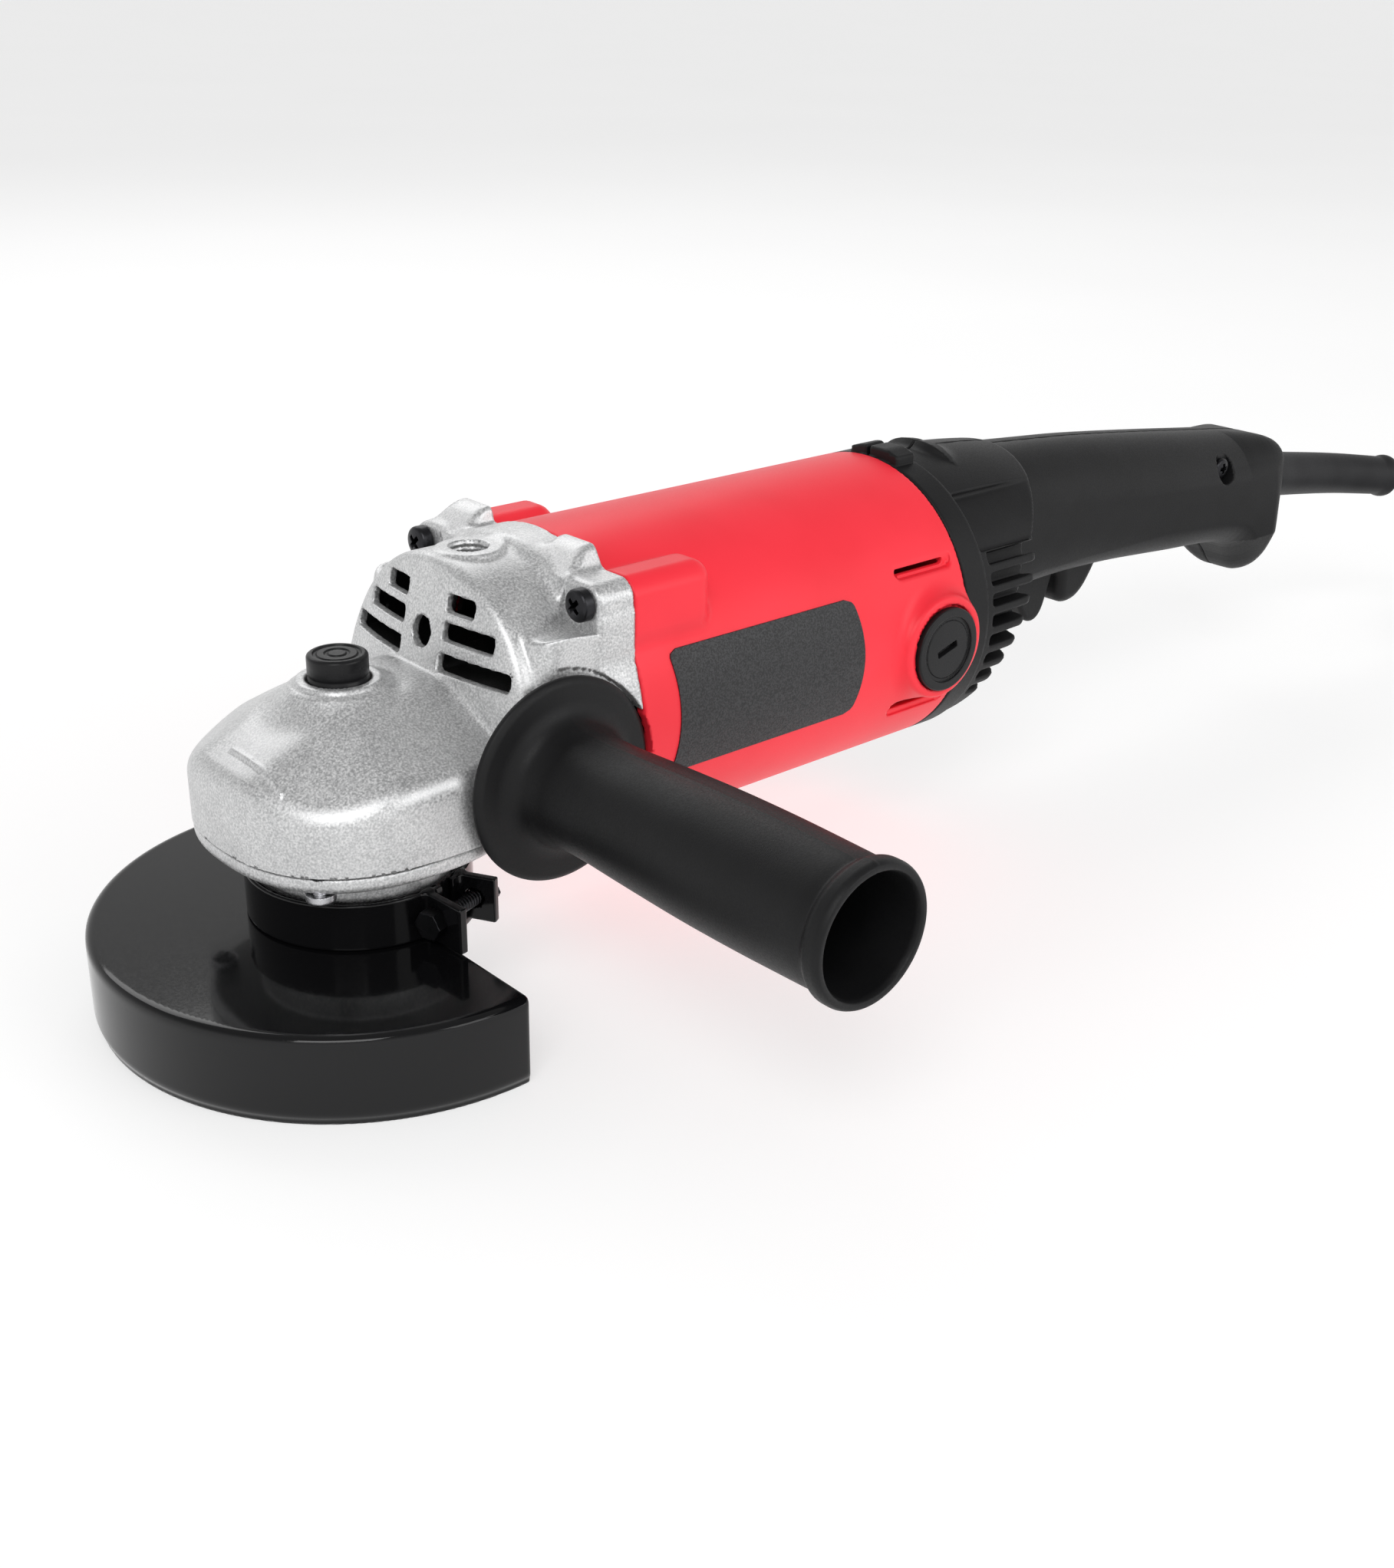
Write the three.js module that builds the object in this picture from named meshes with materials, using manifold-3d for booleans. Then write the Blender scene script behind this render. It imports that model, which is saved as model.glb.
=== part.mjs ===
// A corded angle grinder with a long tail handle, as an assembly of separate pieces.
// Millimetres. +Z is up along the spindle, +X runs from the gear head to the tail, and the side
// handle points to -Y. The origin is the middle of the spindle's lower end face.
import * as THREE from "three";
import { mergeVertices } from "three/addons/utils/BufferGeometryUtils.js";
import Module from "manifold-3d";

const wasm = await Module();
wasm.setup();

// Driving dimensions.
const GAP = 0.3; // kept between pieces that touch
const MOTOR_Z = 66.5; // height of the armature's axis
const MOTOR_R = 42.9; // outside of the motor housing
const MOTOR_FRONT = 57.3;
const MOTOR_REAR = 177.7;
const BRUSH_X = 166;
const BRUSH_Z = 64.8;
const GUARD_R = 67;
const GUARD_HEIGHT = 23;
const GUARD_SHEET = 2;
const GUARD_CUT_X = 3; // the guard covers what lies on the -X side of this plane
const NECK_R = 25.2; // neck of the bearing cover, inside the guard's neck ring
const BAND_R = 28.2;
const BAND_TOP = 35.5;
const COVER_Z = 44; // underside of the bearing cover
const HEAD_Z = 48; // joint between the cover and the gear housing
const HEAD_HALF_X = 37.3;
const HEAD_HALF_Y = 37.9;
const DOME_Z = 69.3; // middle of the round housing over the fan
const TOP_SEAT_X = 36.3; // threaded seat for the side handle on top of the head
const TOP_SEAT_Z = 108.1;
const LOCK_X = -2.4;
const LOCK_TOP = 89.4;
const GEAR_TEETH = 37;
const PINION_TEETH = 10;
const HANDLE_X = 32.8;
const HANDLE_Z = 60.5;
const HANDLE_SEAT_Y = 38.7;
const HANDLE_LENGTH = 104.2;
// The four screws that hold the gear head on the motor, as [y, height over the motor's axis].
const HOUSING_SCREWS = [[-19, -38], [19, -38], [-33.5, 33.5], [33.5, 33.5]];
const GRIP_HALF = 20; // half the width of the tail grip
const CORD_R = 3.75;
const COIL = { x: 496, y: -98, inner: 25.2, outer: 56.2, height: 15.4 };

// Turning a solid's own +Z to another direction.
const TO_X = new THREE.Matrix4().makeRotationY(Math.PI / 2);
const TO_MINUS_Y = new THREE.Matrix4().makeRotationX(Math.PI / 2);

const FINISH = {
  cast: { color: 0xb9bbbd, roughness: 0.45, metalness: 0.9 },
  steel: { color: 0x9a9da1, roughness: 0.3, metalness: 1 },
  darkSteel: { color: 0x1c1c1e, roughness: 0.4, metalness: 0.8 },
  blackPaint: { color: 0x08080a, roughness: 0.12, metalness: 0.2 },
  blackPlastic: { color: 0x1a1a1c, roughness: 0.55, metalness: 0 },
  redPlastic: { color: 0xf2303c, roughness: 0.5, metalness: 0 },
  label: { color: 0x232325, roughness: 0.7, metalness: 0 },
  rubber: { color: 0x141416, roughness: 0.65, metalness: 0 },
  copper: { color: 0xb4612d, roughness: 0.35, metalness: 1 },
  brass: { color: 0xc7a14a, roughness: 0.3, metalness: 1 },
  carbon: { color: 0x2a2a2c, roughness: 0.8, metalness: 0.1 },
};

// A closed geometry as a manifold-3d solid, turned the right way out.
function solid(geometry) {
  const bare = geometry.index ? geometry.toNonIndexed() : geometry.clone();
  bare.deleteAttribute("normal");
  bare.deleteAttribute("uv");
  const merged = mergeVertices(bare, 1e-4);
  const triVerts = new Uint32Array(merged.index.array);
  const vertProperties = merged.attributes.position.array;
  const made = new wasm.Manifold(new wasm.Mesh({ numProp: 3, vertProperties, triVerts }));
  if (made.volume() >= 0) return made;
  for (let i = 0; i < triVerts.length; i += 3) {
    [triVerts[i + 1], triVerts[i + 2]] = [triVerts[i + 2], triVerts[i + 1]];
  }
  return new wasm.Manifold(new wasm.Mesh({ numProp: 3, vertProperties, triVerts }));
}

// A solid as a three.js mesh with its own material.
function piece(name, made, finish) {
  const { numProp, vertProperties, triVerts } = made.getMesh();
  const positions = new Float32Array((vertProperties.length / numProp) * 3);
  for (let i = 0; i < positions.length / 3; i += 1) {
    positions.set(vertProperties.subarray(i * numProp, i * numProp + 3), i * 3);
  }
  const geometry = new THREE.BufferGeometry();
  geometry.setAttribute("position", new THREE.BufferAttribute(positions, 3));
  geometry.setIndex(new THREE.BufferAttribute(triVerts, 1));
  geometry.computeVertexNormals();
  const mesh = new THREE.Mesh(geometry, new THREE.MeshStandardMaterial(FINISH[finish]));
  mesh.name = name;
  return mesh;
}

function joined(...solids) {
  return solids.reduce((a, b) => a.add(b));
}

function cutFrom(base, ...tools) {
  return tools.reduce((a, b) => a.subtract(b), base);
}

// A cylinder about Z from z0 to z1, with its middle at x, y.
function rodGeometry(radius, z0, z1, sides = 24, x = 0, y = 0) {
  const geometry = new THREE.CylinderGeometry(radius, radius, z1 - z0, sides);
  return geometry.rotateX(Math.PI / 2).translate(x, y, (z0 + z1) / 2);
}

function rod(radius, z0, z1, sides, x, y) {
  return solid(rodGeometry(radius, z0, z1, sides, x, y));
}

// A cylinder along X or Y between two places on that axis.
function rodX(radius, x0, x1, y, z, sides = 24) {
  return solid(rodGeometry(radius, x0, x1, sides).applyMatrix4(TO_X).translate(0, y, z));
}

function rodY(radius, y0, y1, x, z, sides = 24) {
  const turned = rodGeometry(radius, -y1, -y0, sides).applyMatrix4(TO_MINUS_Y);
  return solid(turned.translate(x, 0, z));
}

// A box between two corners.
function box([x0, y0, z0], [x1, y1, z1]) {
  const geometry = new THREE.BoxGeometry(x1 - x0, y1 - y0, z1 - z0);
  return solid(geometry.translate((x0 + x1) / 2, (y0 + y1) / 2, (z0 + z1) / 2));
}

// A profile of [radius, z] points turned about Z. It starts and ends on the axis or on itself.
function turned(profile, sides = 28) {
  const points = profile.map(([r, z]) => new THREE.Vector2(r, z));
  return solid(new THREE.LatheGeometry(points, sides).rotateX(Math.PI / 2));
}

function ring(outer, inner, z0, z1, sides = 28) {
  return turned([[inner, z0], [outer, z0], [outer, z1], [inner, z1], [inner, z0]], sides);
}

function shapeOf(points) {
  return new THREE.Shape(points.map(([a, b]) => new THREE.Vector2(a, b)));
}

// A plan outline of [x, y] points raised from z0 to z1.
function slab(points, z0, z1) {
  const geometry = new THREE.ExtrudeGeometry(shapeOf(points), { depth: z1 - z0, bevelEnabled: false });
  return solid(geometry.translate(0, 0, z0));
}

// A side outline of [x, z] points spread over the width from y0 to y1, its edges rounded by soften.
function sidePlate(points, y0, y1, soften = 0, steps = 2) {
  const settings = {
    depth: y1 - y0 - 2 * soften,
    bevelEnabled: soften > 0,
    bevelThickness: soften,
    bevelSize: soften,
    bevelOffset: -soften,
    bevelSegments: steps,
  };
  const geometry = new THREE.ExtrudeGeometry(shapeOf(points), settings);
  return solid(geometry.translate(0, 0, soften - y1).applyMatrix4(TO_MINUS_Y));
}

// An end outline of [y, z] points carried along X from x0 to x1.
function endPlate(points, x0, x1) {
  const flipped = points.map(([y, z]) => [-z, y]);
  const geometry = new THREE.ExtrudeGeometry(shapeOf(flipped), { depth: x1 - x0, bevelEnabled: false });
  return solid(geometry.translate(0, 0, x0).applyMatrix4(TO_X));
}

// A solid turned about Z by an angle in degrees.
function spun(geometry, degrees) {
  return solid(geometry.rotateZ(THREE.MathUtils.degToRad(degrees)));
}

// A polygon of corners around a circle, such as a hexagon nut's.
function polygon(radius, corners) {
  const step = (2 * Math.PI) / corners;
  return Array.from({ length: corners }, (_, i) => [
    radius * Math.cos(i * step),
    radius * Math.sin(i * step),
  ]);
}

// The gear head's plan: a rounded square, its front a full curve.
function headPlan(steps = 32) {
  const power = 2 / 2.4;
  return Array.from({ length: steps }, (_, i) => {
    const angle = (i / steps) * 2 * Math.PI;
    const c = Math.cos(angle);
    const s = Math.sin(angle);
    return [
      HEAD_HALF_X * Math.sign(c) * Math.abs(c) ** power,
      HEAD_HALF_Y * Math.sign(s) * Math.abs(s) ** power,
    ];
  });
}

function headBody() {
  const plan = joined(
    slab(headPlan(), HEAD_Z + GAP, 120),
    box([0, -HEAD_HALF_Y, HEAD_Z + GAP], [46.5, HEAD_HALF_Y, 120]),
  );
  const side = sidePlate(
    [[-38, 47], [-38, 61], [-35, 65.5], [-28, 70], [-9, 79.6], [14, 81], [47, 88], [47, 47]], -40, 40);
  const front = endPlate(
    [[-38, 47], [-38, 63.5], [-35, 67.5], [-12, 80.6], [-12, 88], [12, 88], [12, 80.6],
      [35, 67.5], [38, 63.5], [38, 47]], -40, 47);
  return cutFrom(plan.intersect(side).intersect(front), aboveCorner(-1), aboveCorner(1));
}

// All that lies above the plane across one front corner of the gear head's roof.
function aboveCorner(side) {
  const geometry = new THREE.BoxGeometry(92, 46, 2).translate(1, side * 23, 0);
  const at = geometry.attributes.position;
  for (let i = 0; i < at.count; i += 1) {
    const drop = 0.5 * (-9 - at.getX(i)) + 0.56 * (Math.abs(at.getY(i)) - 12);
    at.setZ(i, at.getZ(i) < 0 ? 80.6 - drop : 130);
  }
  return solid(geometry);
}

function ventDome() {
  const round = joined(
    rodX(38.5, 17, 47, 0, DOME_Z, 40),
    box([17, -38.5, HEAD_Z + GAP], [47, 38.5, DOME_Z]),
  );
  const lean = sidePlate([[17.5, 48.3], [17.5, 74], [25.1, 105.5], [28, 109], [47, 109], [47, 48.3]], -39, 39);
  return round.intersect(lean);
}

const UPPER_LUG = [[22, 18], [38.5, 20.5], [38.5, 35.7], [35.7, 38.4], [26, 38.4], [22, 36]];
const LOWER_LUG = [[13.8, -30], [13.8, -42.8], [24.2, -42.8], [24.2, -30]];

// The lugs around the four housing screws, from x0 to x1.
function screwLugs(x0, x1) {
  return [-1, 1].flatMap((side) => [UPPER_LUG, LOWER_LUG].map((outline) =>
    endPlate(outline.map(([y, dz]) => [side * y, MOTOR_Z + dz]), x0, x1)));
}

// The round flange that bolts to the motor, with four corner lugs and two raised shelves on top.
function rearFlange() {
  const rear = MOTOR_FRONT - GAP;
  const shelves = sidePlate([[46, 92], [46, 104.2], [53.4, 110.6], [rear, 110.6], [rear, 92]], -45, 45);
  const near = endPlate([[-7, 92], [-11.5, 110.6], [-23.4, 110.6], [-33.5, 92]], 45, 60);
  const far = endPlate([[14, 92], [18.6, 110.6], [30.6, 110.6], [40.5, 92]], 45, 60);
  return joined(rodX(MOTOR_R, 46, rear, 0, MOTOR_Z, 48), ...screwLugs(46, rear), joined(near, far).intersect(shelves));
}

function ventSlots() {
  const rows = [[84, 33], [91.5, 26.5], [98.5, 18.5]];
  return rows.flatMap(([z, end]) => [
    box([14, 8, z - 2.3], [32, end, z + 2.3]),
    box([14, -end, z - 2.3], [32, -8, z + 2.3]),
  ]);
}

function gearHousing() {
  const outside = joined(
    headBody(),
    ventDome(),
    rearFlange(),
    rod(11.5, 74, 83.4, 32, LOCK_X, 0),
    rod(8.2, 100, TOP_SEAT_Z, 24, TOP_SEAT_X, 0),
  );
  const bosses = joined(
    rodY(13.2, -HANDLE_SEAT_Y, -28, HANDLE_X, HANDLE_Z),
    rodY(13.2, 28, HANDLE_SEAT_Y, HANDLE_X, HANDLE_Z),
  ).intersect(box([10, -50, HEAD_Z + GAP], [50, 50, 90]));
  const hollows = [
    rod(29, 40, 63.6, 32),
    rodX(9.5, 9.5, 28.5, 0, MOTOR_Z),
    rodX(13.3, 28, 50, 0, MOTOR_Z),
    rodX(38.6, 49.5, 60, 0, MOTOR_Z, 32),
    rodX(34.8, 28, 50, 0, DOME_Z, 32).intersect(box([28, -36, 80.8], [50, 36, 108])),
    rod(8.3, 61, 70.6, 20),
    rod(3, 70, 78, 14, LOCK_X, 0),
    rod(7.8, 76, 84, 24, LOCK_X, 0),
    rod(4.2, 98, 111, 14, TOP_SEAT_X, 0),
    rodX(3.4, 14, 32, 0, 89.6, 14),
    rodY(4.7, -40, -20, HANDLE_X, HANDLE_Z, 16),
    rodY(4.7, 20, 40, HANDLE_X, HANDLE_Z, 16),
  ];
  const screwHoles = HOUSING_SCREWS.map(([y, dz]) => rodX(2.4, 45, 60, y, MOTOR_Z + dz, 10));
  const coverHoles = corners(26, 26).map(([x, y]) => rod(2.2, 47, 58, 10, x, y));
  return cutFrom(joined(outside.subtract(handleRelief()), bosses), ...hollows, ...ventSlots(), ...screwHoles, ...coverHoles);
}

// A round relief on each side, in which the side handle's flange stays clear of the housings.
function handleRelief() {
  const depth = HANDLE_SEAT_Y - 0.5;
  return joined(
    rodY(26.8, -60, -depth, HANDLE_X, HANDLE_Z, 32),
    rodY(26.8, depth, 60, HANDLE_X, HANDLE_Z, 32),
  );
}

// The four places at plus or minus a and b.
function corners(a, b) {
  return [[-a, -b], [a, -b], [-a, b], [a, b]];
}

function bearingCover() {
  const plate = slab(headPlan(), COVER_Z, HEAD_Z);
  const neck = rod(NECK_R, 18.5, COVER_Z + 1, 40);
  const spigot = ring(28.4, 22, HEAD_Z - 1, 50.5, 32);
  const holes = corners(26, 26).map(([x, y]) => rod(2.2, 40, 50, 10, x, y));
  return cutFrom(joined(plate, neck, spigot), rod(17.8, 30.7, 52, 28), rod(13, 17, 32, 28), ...holes);
}

// A pan-head screw along Z: the head is below z0 and the shank runs up to z1.
function screwProfile(z0, z1, headR, headHeight, shankR) {
  return [[0, z0 - headHeight], [headR * 0.7, z0 - headHeight], [headR, z0 - headHeight * 0.45],
    [headR, z0], [shankR, z0], [shankR, z1], [0, z1]];
}

function crossRecess(z, size) {
  return joined(
    box([-size, -0.5, z - 1], [size, 0.5, z + 1.3]),
    box([-0.5, -size, z - 1], [0.5, size, z + 1.3]),
  );
}

function coverScrew() {
  return turned(screwProfile(COVER_Z - GAP, 57, 3.6, 2.6, 1.9), 12);
}

function housingScrew() {
  const shape = turned(screwProfile(0, 30, 4.2, 3.4, 2.1), 14);
  return shape.subtract(crossRecess(-3.4, 2.2));
}

function spindle() {
  const shape = turned([[0, 0], [6.2, 0], [7, 0.8], [7, 13], [8.4, 13], [8.4, 30.2], [7.5, 30.2],
    [7.5, 43.5], [6.2, 43.5], [6.2, 62.2], [5, 62.2], [5, 70], [0, 70]], 24);
  return shape.subtract(box([-7, -1.7, 66.4], [7, 1.7, 71]));
}

// One straight bevel tooth along +X, between two radii, its height and width growing with the radius.
// pitchSlope is how far the tooth's pitch line drops for each millimetre of radius.
function bevelTooth(near, far, pitchSlope, halfPitch, up, down) {
  const section = (radius) => {
    const wide = radius * halfPitch * 0.6;
    const narrow = radius * halfPitch * 0.24;
    const z = -radius * pitchSlope;
    return [[radius, -wide, z - radius * down], [radius, wide, z - radius * down],
      [radius, narrow, z + radius * up], [radius, -narrow, z + radius * up]];
  };
  const points = [...section(near), ...section(far)].flat();
  const faces = [0, 1, 2, 0, 2, 3, 4, 6, 5, 4, 7, 6, 0, 5, 1, 0, 4, 5,
    1, 6, 2, 1, 5, 6, 2, 7, 3, 2, 6, 7, 3, 4, 0, 3, 7, 4];
  const geometry = new THREE.BufferGeometry();
  geometry.setAttribute("position", new THREE.BufferAttribute(new Float32Array(points), 3));
  geometry.setIndex(faces);
  return geometry;
}

// The big bevel gear on the spindle. Its pitch cone's tip is on the armature's axis.
function driveGear() {
  const ratio = PINION_TEETH / GEAR_TEETH;
  const halfPitch = Math.PI / GEAR_TEETH;
  const root = ratio + 0.052;
  const blank = turned([[6.5, 47], [11, 47], [11, 52], [25, 52], [25, MOTOR_Z - 25 * root],
    [14.5, MOTOR_Z - 14.5 * root], [6.5, MOTOR_Z - 14.5 * root], [6.5, 47]], GEAR_TEETH);
  const teeth = Array.from({ length: GEAR_TEETH }, (_, i) => {
    const tooth = bevelTooth(15, 24.6, ratio, halfPitch, 0.034, 0.07);
    return spun(tooth.translate(0, 0, MOTOR_Z), (i * 360) / GEAR_TEETH);
  });
  return joined(blank, ...teeth);
}

// The pinion about its own Z, which lies on the armature's axis, so z here is the place along X.
function pinion() {
  const ratio = PINION_TEETH / GEAR_TEETH;
  const rootAt = (z) => z * (ratio - 0.062);
  const tipAt = (z) => z * (ratio + 0.034);
  const blank = turned([[0, 14.5], [rootAt(14.5), 14.5], [rootAt(25), 25], [7.6, 25.6], [7.6, 28.6],
    [0, 28.6], [0, 14.5]], 20);
  const step = (2 * Math.PI) / PINION_TEETH;
  const teeth = Array.from({ length: PINION_TEETH }, (_, i) => {
    const section = (z) => [[rootAt(z) * 0.8, -0.27], [rootAt(z) * 0.8, 0.27], [tipAt(z), 0.13],
      [tipAt(z), -0.13]].map(([r, turn]) => [r * Math.cos(turn * step), r * Math.sin(turn * step), z]);
    const points = [...section(15), ...section(24.6)].flat();
    const faces = [0, 2, 1, 0, 3, 2, 4, 5, 6, 4, 6, 7, 0, 1, 5, 0, 5, 4,
      1, 2, 6, 1, 6, 5, 2, 3, 7, 2, 7, 6, 3, 0, 4, 3, 4, 7];
    const geometry = new THREE.BufferGeometry();
    geometry.setAttribute("position", new THREE.BufferAttribute(new Float32Array(points), 3));
    geometry.setIndex(faces);
    return spun(geometry, 18 + i * 36);
  });
  return joined(blank, ...teeth).subtract(rod(3.3, 10, 32, 14));
}

function innerFlange() {
  return turned([[7.3, 11.5], [11, 11.5], [11, 13.5], [21, 13.5], [21, 15.5], [16, 17.7], [8.7, 17.7],
    [8.7, 12.7], [7.3, 12.7], [7.3, 11.5]]);
}

function lockNut() {
  const shape = turned([[7.3, 3], [19, 3], [20, 4], [20, 7.5], [10.8, 7.5], [10.8, 9], [7.3, 9], [7.3, 3]]);
  const holes = [0, 90, 180, 270].map((a) => spun(rodGeometry(2.4, 2, 6, 10, 15, 0), a + 45));
  return cutFrom(shape, ...holes);
}

function lockButton() {
  return turned([[2.9, 82], [5.4, 82], [5.4, 80], [7.36, 80], [7.36, 88.6], [6.6, LOCK_TOP],
    [0, LOCK_TOP], [0, 87], [2.9, 87], [2.9, 82]], 24);
}

function lockPin() {
  const blade = box([-2.5, -1.3, 74], [2.5, 1.3, 78]);
  return joined(rod(2.6, 77, 86.6, 14), blade.intersect(rod(2.6, 73, 79, 14)));
}

// The spring that lifts the lock button, a round wire wound about Z.
function lockSpring() {
  const turns = 3.5;
  const steps = 36;
  const points = Array.from({ length: steps + 1 }, (_, i) => {
    const share = i / steps;
    const angle = share * turns * 2 * Math.PI;
    return new THREE.Vector3(4.1 * Math.cos(angle), 4.1 * Math.sin(angle), 76.8 + share * 4.6);
  });
  return tube(points, 0.45, 5, steps);
}

// A round bar of some sides along a smooth curve through the points.
function tube(points, radius, sides, steps) {
  const section = shapeOf(polygon(radius, sides));
  const path = new THREE.CatmullRomCurve3(points, false, "centripetal");
  return solid(new THREE.ExtrudeGeometry(section, { steps, bevelEnabled: false, extrudePath: path }));
}

function wheelGuard() {
  const inside = GUARD_R - 1.7;
  const under = GUARD_HEIGHT - GUARD_SHEET;
  const shell = turned([[25.5, under], [inside - 1.2, under], [inside, under - 1.2], [inside, 2.4],
    [inside - 0.8, 1], [inside - 0.8, 0], [inside + 0.6, 0], [GUARD_R, 2], [GUARD_R, 20.6],
    [GUARD_R - 0.8, 22.2], [GUARD_R - 2.6, GUARD_HEIGHT], [25.5, GUARD_HEIGHT], [25.5, under]], 56);
  const kept = joined(box([-70, -70, -1], [GUARD_CUT_X, 70, 30]), rod(29.4, -1, 30, 40));
  return joined(shell.intersect(kept), ring(26.6, 25.5, under, BAND_TOP, 40));
}

// The band's two ears: each has its angle about Z and the radius it reaches.
const EARS = [{ angle: -60.5, reach: 37.5 }, { angle: -86, reach: 41 }];
const BOLT = { angle: -73.25, radius: 34, z: 29.5 };

function clampBand() {
  const band = ring(BAND_R, 26.9, GUARD_HEIGHT + GAP, BAND_TOP, 40);
  const split = spun(new THREE.BoxGeometry(6, 4, 20).translate(27.5, 0, 29), BOLT.angle);
  const ears = EARS.map(({ angle, reach }) => {
    const ear = new THREE.BoxGeometry(reach - 27.3, 2.2, BAND_TOP - GUARD_HEIGHT - GAP);
    return spun(ear.translate((reach + 27.3) / 2, 0, (BAND_TOP + GUARD_HEIGHT + GAP) / 2), angle);
  });
  const hole = atBolt(rodGeometry(2.8, -12, 12, 12));
  return cutFrom(joined(band.subtract(split), ...ears), hole);
}

// Puts a geometry made about Z on the clamp bolt's line, its +Z away from the head.
function atBolt(geometry) {
  const turn = THREE.MathUtils.degToRad(BOLT.angle);
  geometry.rotateX(-Math.PI / 2).translate(BOLT.radius, 0, 0);
  return solid(geometry.rotateZ(turn).translate(0, 0, BOLT.z));
}

function hexGeometry(radius, z0, z1) {
  const shape = shapeOf(polygon(radius, 6));
  return new THREE.ExtrudeGeometry(shape, { depth: z1 - z0, bevelEnabled: false }).translate(0, 0, z0);
}

function clampBolt() {
  return joined(atBolt(hexGeometry(4.6, -14, -9.8)), atBolt(rodGeometry(2.4, -10.2, 13.5, 12)));
}

function clampNut() {
  return atBolt(hexGeometry(4.6, 9.8, 13.2)).subtract(atBolt(rodGeometry(2.75, 9, 14, 12)));
}

// The side handle about its own Z, which points out to the open end.
function sideHandle() {
  const end = HANDLE_LENGTH;
  return turned([[5.4, 0.2], [24.6, 0.2], [25.9, 1], [25.9, 2.2], [24.9, 3.2], [19, 3.6], [16, 5.4],
    [14.6, 9], [14.8, 16], [15.4, 32], [15.8, 60], [15.7, end - 8], [15.2, end - 5.8], [16.5, end - 4],
    [16.7, end - 1.4], [16, end], [14.3, end], [14, end - 2], [12.6, 30], [6, 24], [5.4, 24],
    [5.4, 0.2]], 28);
}

function handleStud() {
  return joined(rod(4.3, -13, 20, 16), rod(5.1, 4, 19, 6));
}

// Motor parts about the armature's axis: z is the place along X.
function motorShell() {
  const tubeWall = turned([[39.6, MOTOR_FRONT], [MOTOR_R, MOTOR_FRONT], [MOTOR_R, MOTOR_REAR],
    [14, MOTOR_REAR], [14, 184], [11.3, 184], [11.3, 175], [38, 174.5], [39.6, 172], [39.6, MOTOR_FRONT]], 48);
  return tubeWall;
}

function motorHousing() {
  const pads = screwLugs(MOTOR_FRONT, 79);
  const bore = rodX(39.6, 50, 172, 0, MOTOR_Z, 48);
  const boss = [-1, 1].map((side) => rodY(15, side > 0 ? 30 : -45.6, side > 0 ? 45.6 : -30, BRUSH_X, BRUSH_Z));
  const shell = solid(meshGeometry(motorShell()).applyMatrix4(TO_X).translate(0, 0, MOTOR_Z));
  const outside = joined(shell, ...pads, ...boss);
  const brushBores = rodY(10.6, -50, 50, BRUSH_X, BRUSH_Z);
  const screwHoles = HOUSING_SCREWS.map(([y, dz]) => rodX(2.4, 50, 80, y, MOTOR_Z + dz, 10));
  const slots = [[87.4, 2.2], [47.6, 2.2]].flatMap(([z, half]) => [
    box([149, 30, z - half / 2], [171, 46, z + half / 2]),
    box([149, -46, z - half / 2], [171, -30, z + half / 2]),
  ]);
  const labelSeat = turned([[MOTOR_R - 0.5, 66], [MOTOR_R + 2, 66], [MOTOR_R + 2, 137], [MOTOR_R - 0.5, 137],
    [MOTOR_R - 0.5, 66]], 48);
  const seat = solid(meshGeometry(labelSeat).applyMatrix4(TO_X).translate(0, 0, MOTOR_Z))
    .intersect(box([60, -50, 51], [140, -20, 86.5]));
  return cutFrom(outside, bore, brushBores, ...screwHoles, ...slots, seat, handleRelief());
}

// A solid as a bare geometry, so that it can be turned and moved.
function meshGeometry(made) {
  return piece("", made, "steel").geometry;
}

// The label lies in the shallow seat on the -Y side.
function labelPlate() {
  const sheet = ring(MOTOR_R + 0.4, MOTOR_R - 0.1, 67, 136, 48);
  const curved = solid(meshGeometry(sheet).applyMatrix4(TO_X).translate(0, 0, MOTOR_Z));
  return curved.intersect(box([60, -50, 52], [140, -20, 85.5]));
}

function statorCore() {
  const core = ring(39.1, 24.8, 74, 118, 32);
  const windows = [0, 180].map((a) => spun(new THREE.BoxGeometry(20, 16, 60).translate(27, 0, 96), a));
  return cutFrom(core, ...windows);
}

function fan() {
  const disc = turned([[5.4, 52], [9, 52], [9, 55], [30, 60.5], [36.5, 61], [36.5, 62.4], [9, 62.4],
    [9, 64], [5.4, 64], [5.4, 52]], 28);
  const blades = Array.from({ length: 10 }, (_, i) =>
    spun(new THREE.BoxGeometry(19, 1.4, 9.5).translate(26.5, 0, 56.6), i * 36));
  return joined(disc, ...blades);
}

// The air guide: a ring behind the fan and a skirt around it.
function fanBaffle() {
  return turned([[24, 64.8], [37.6, 64.8], [37.6, 58], [39.2, 58], [39.2, 66.8], [24, 66.8], [24, 64.8]], 32);
}

function brushHolder(side) {
  const y0 = side > 0 ? 16 : -34;
  const y1 = side > 0 ? 34 : -16;
  const outside = box([BRUSH_X - 5.5, y0, BRUSH_Z - 4.5], [BRUSH_X + 5.5, y1, BRUSH_Z + 4.5]);
  return outside.subtract(box([BRUSH_X - 4, y0 - 2, BRUSH_Z - 3], [BRUSH_X + 4, y1 + 2, BRUSH_Z + 3]));
}

function carbonBrush(side) {
  const y0 = side > 0 ? 14.6 : -27;
  const y1 = side > 0 ? 27 : -14.6;
  return box([BRUSH_X - 3.7, y0, BRUSH_Z - 2.7], [BRUSH_X + 3.7, y1, BRUSH_Z + 2.7]);
}

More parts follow.
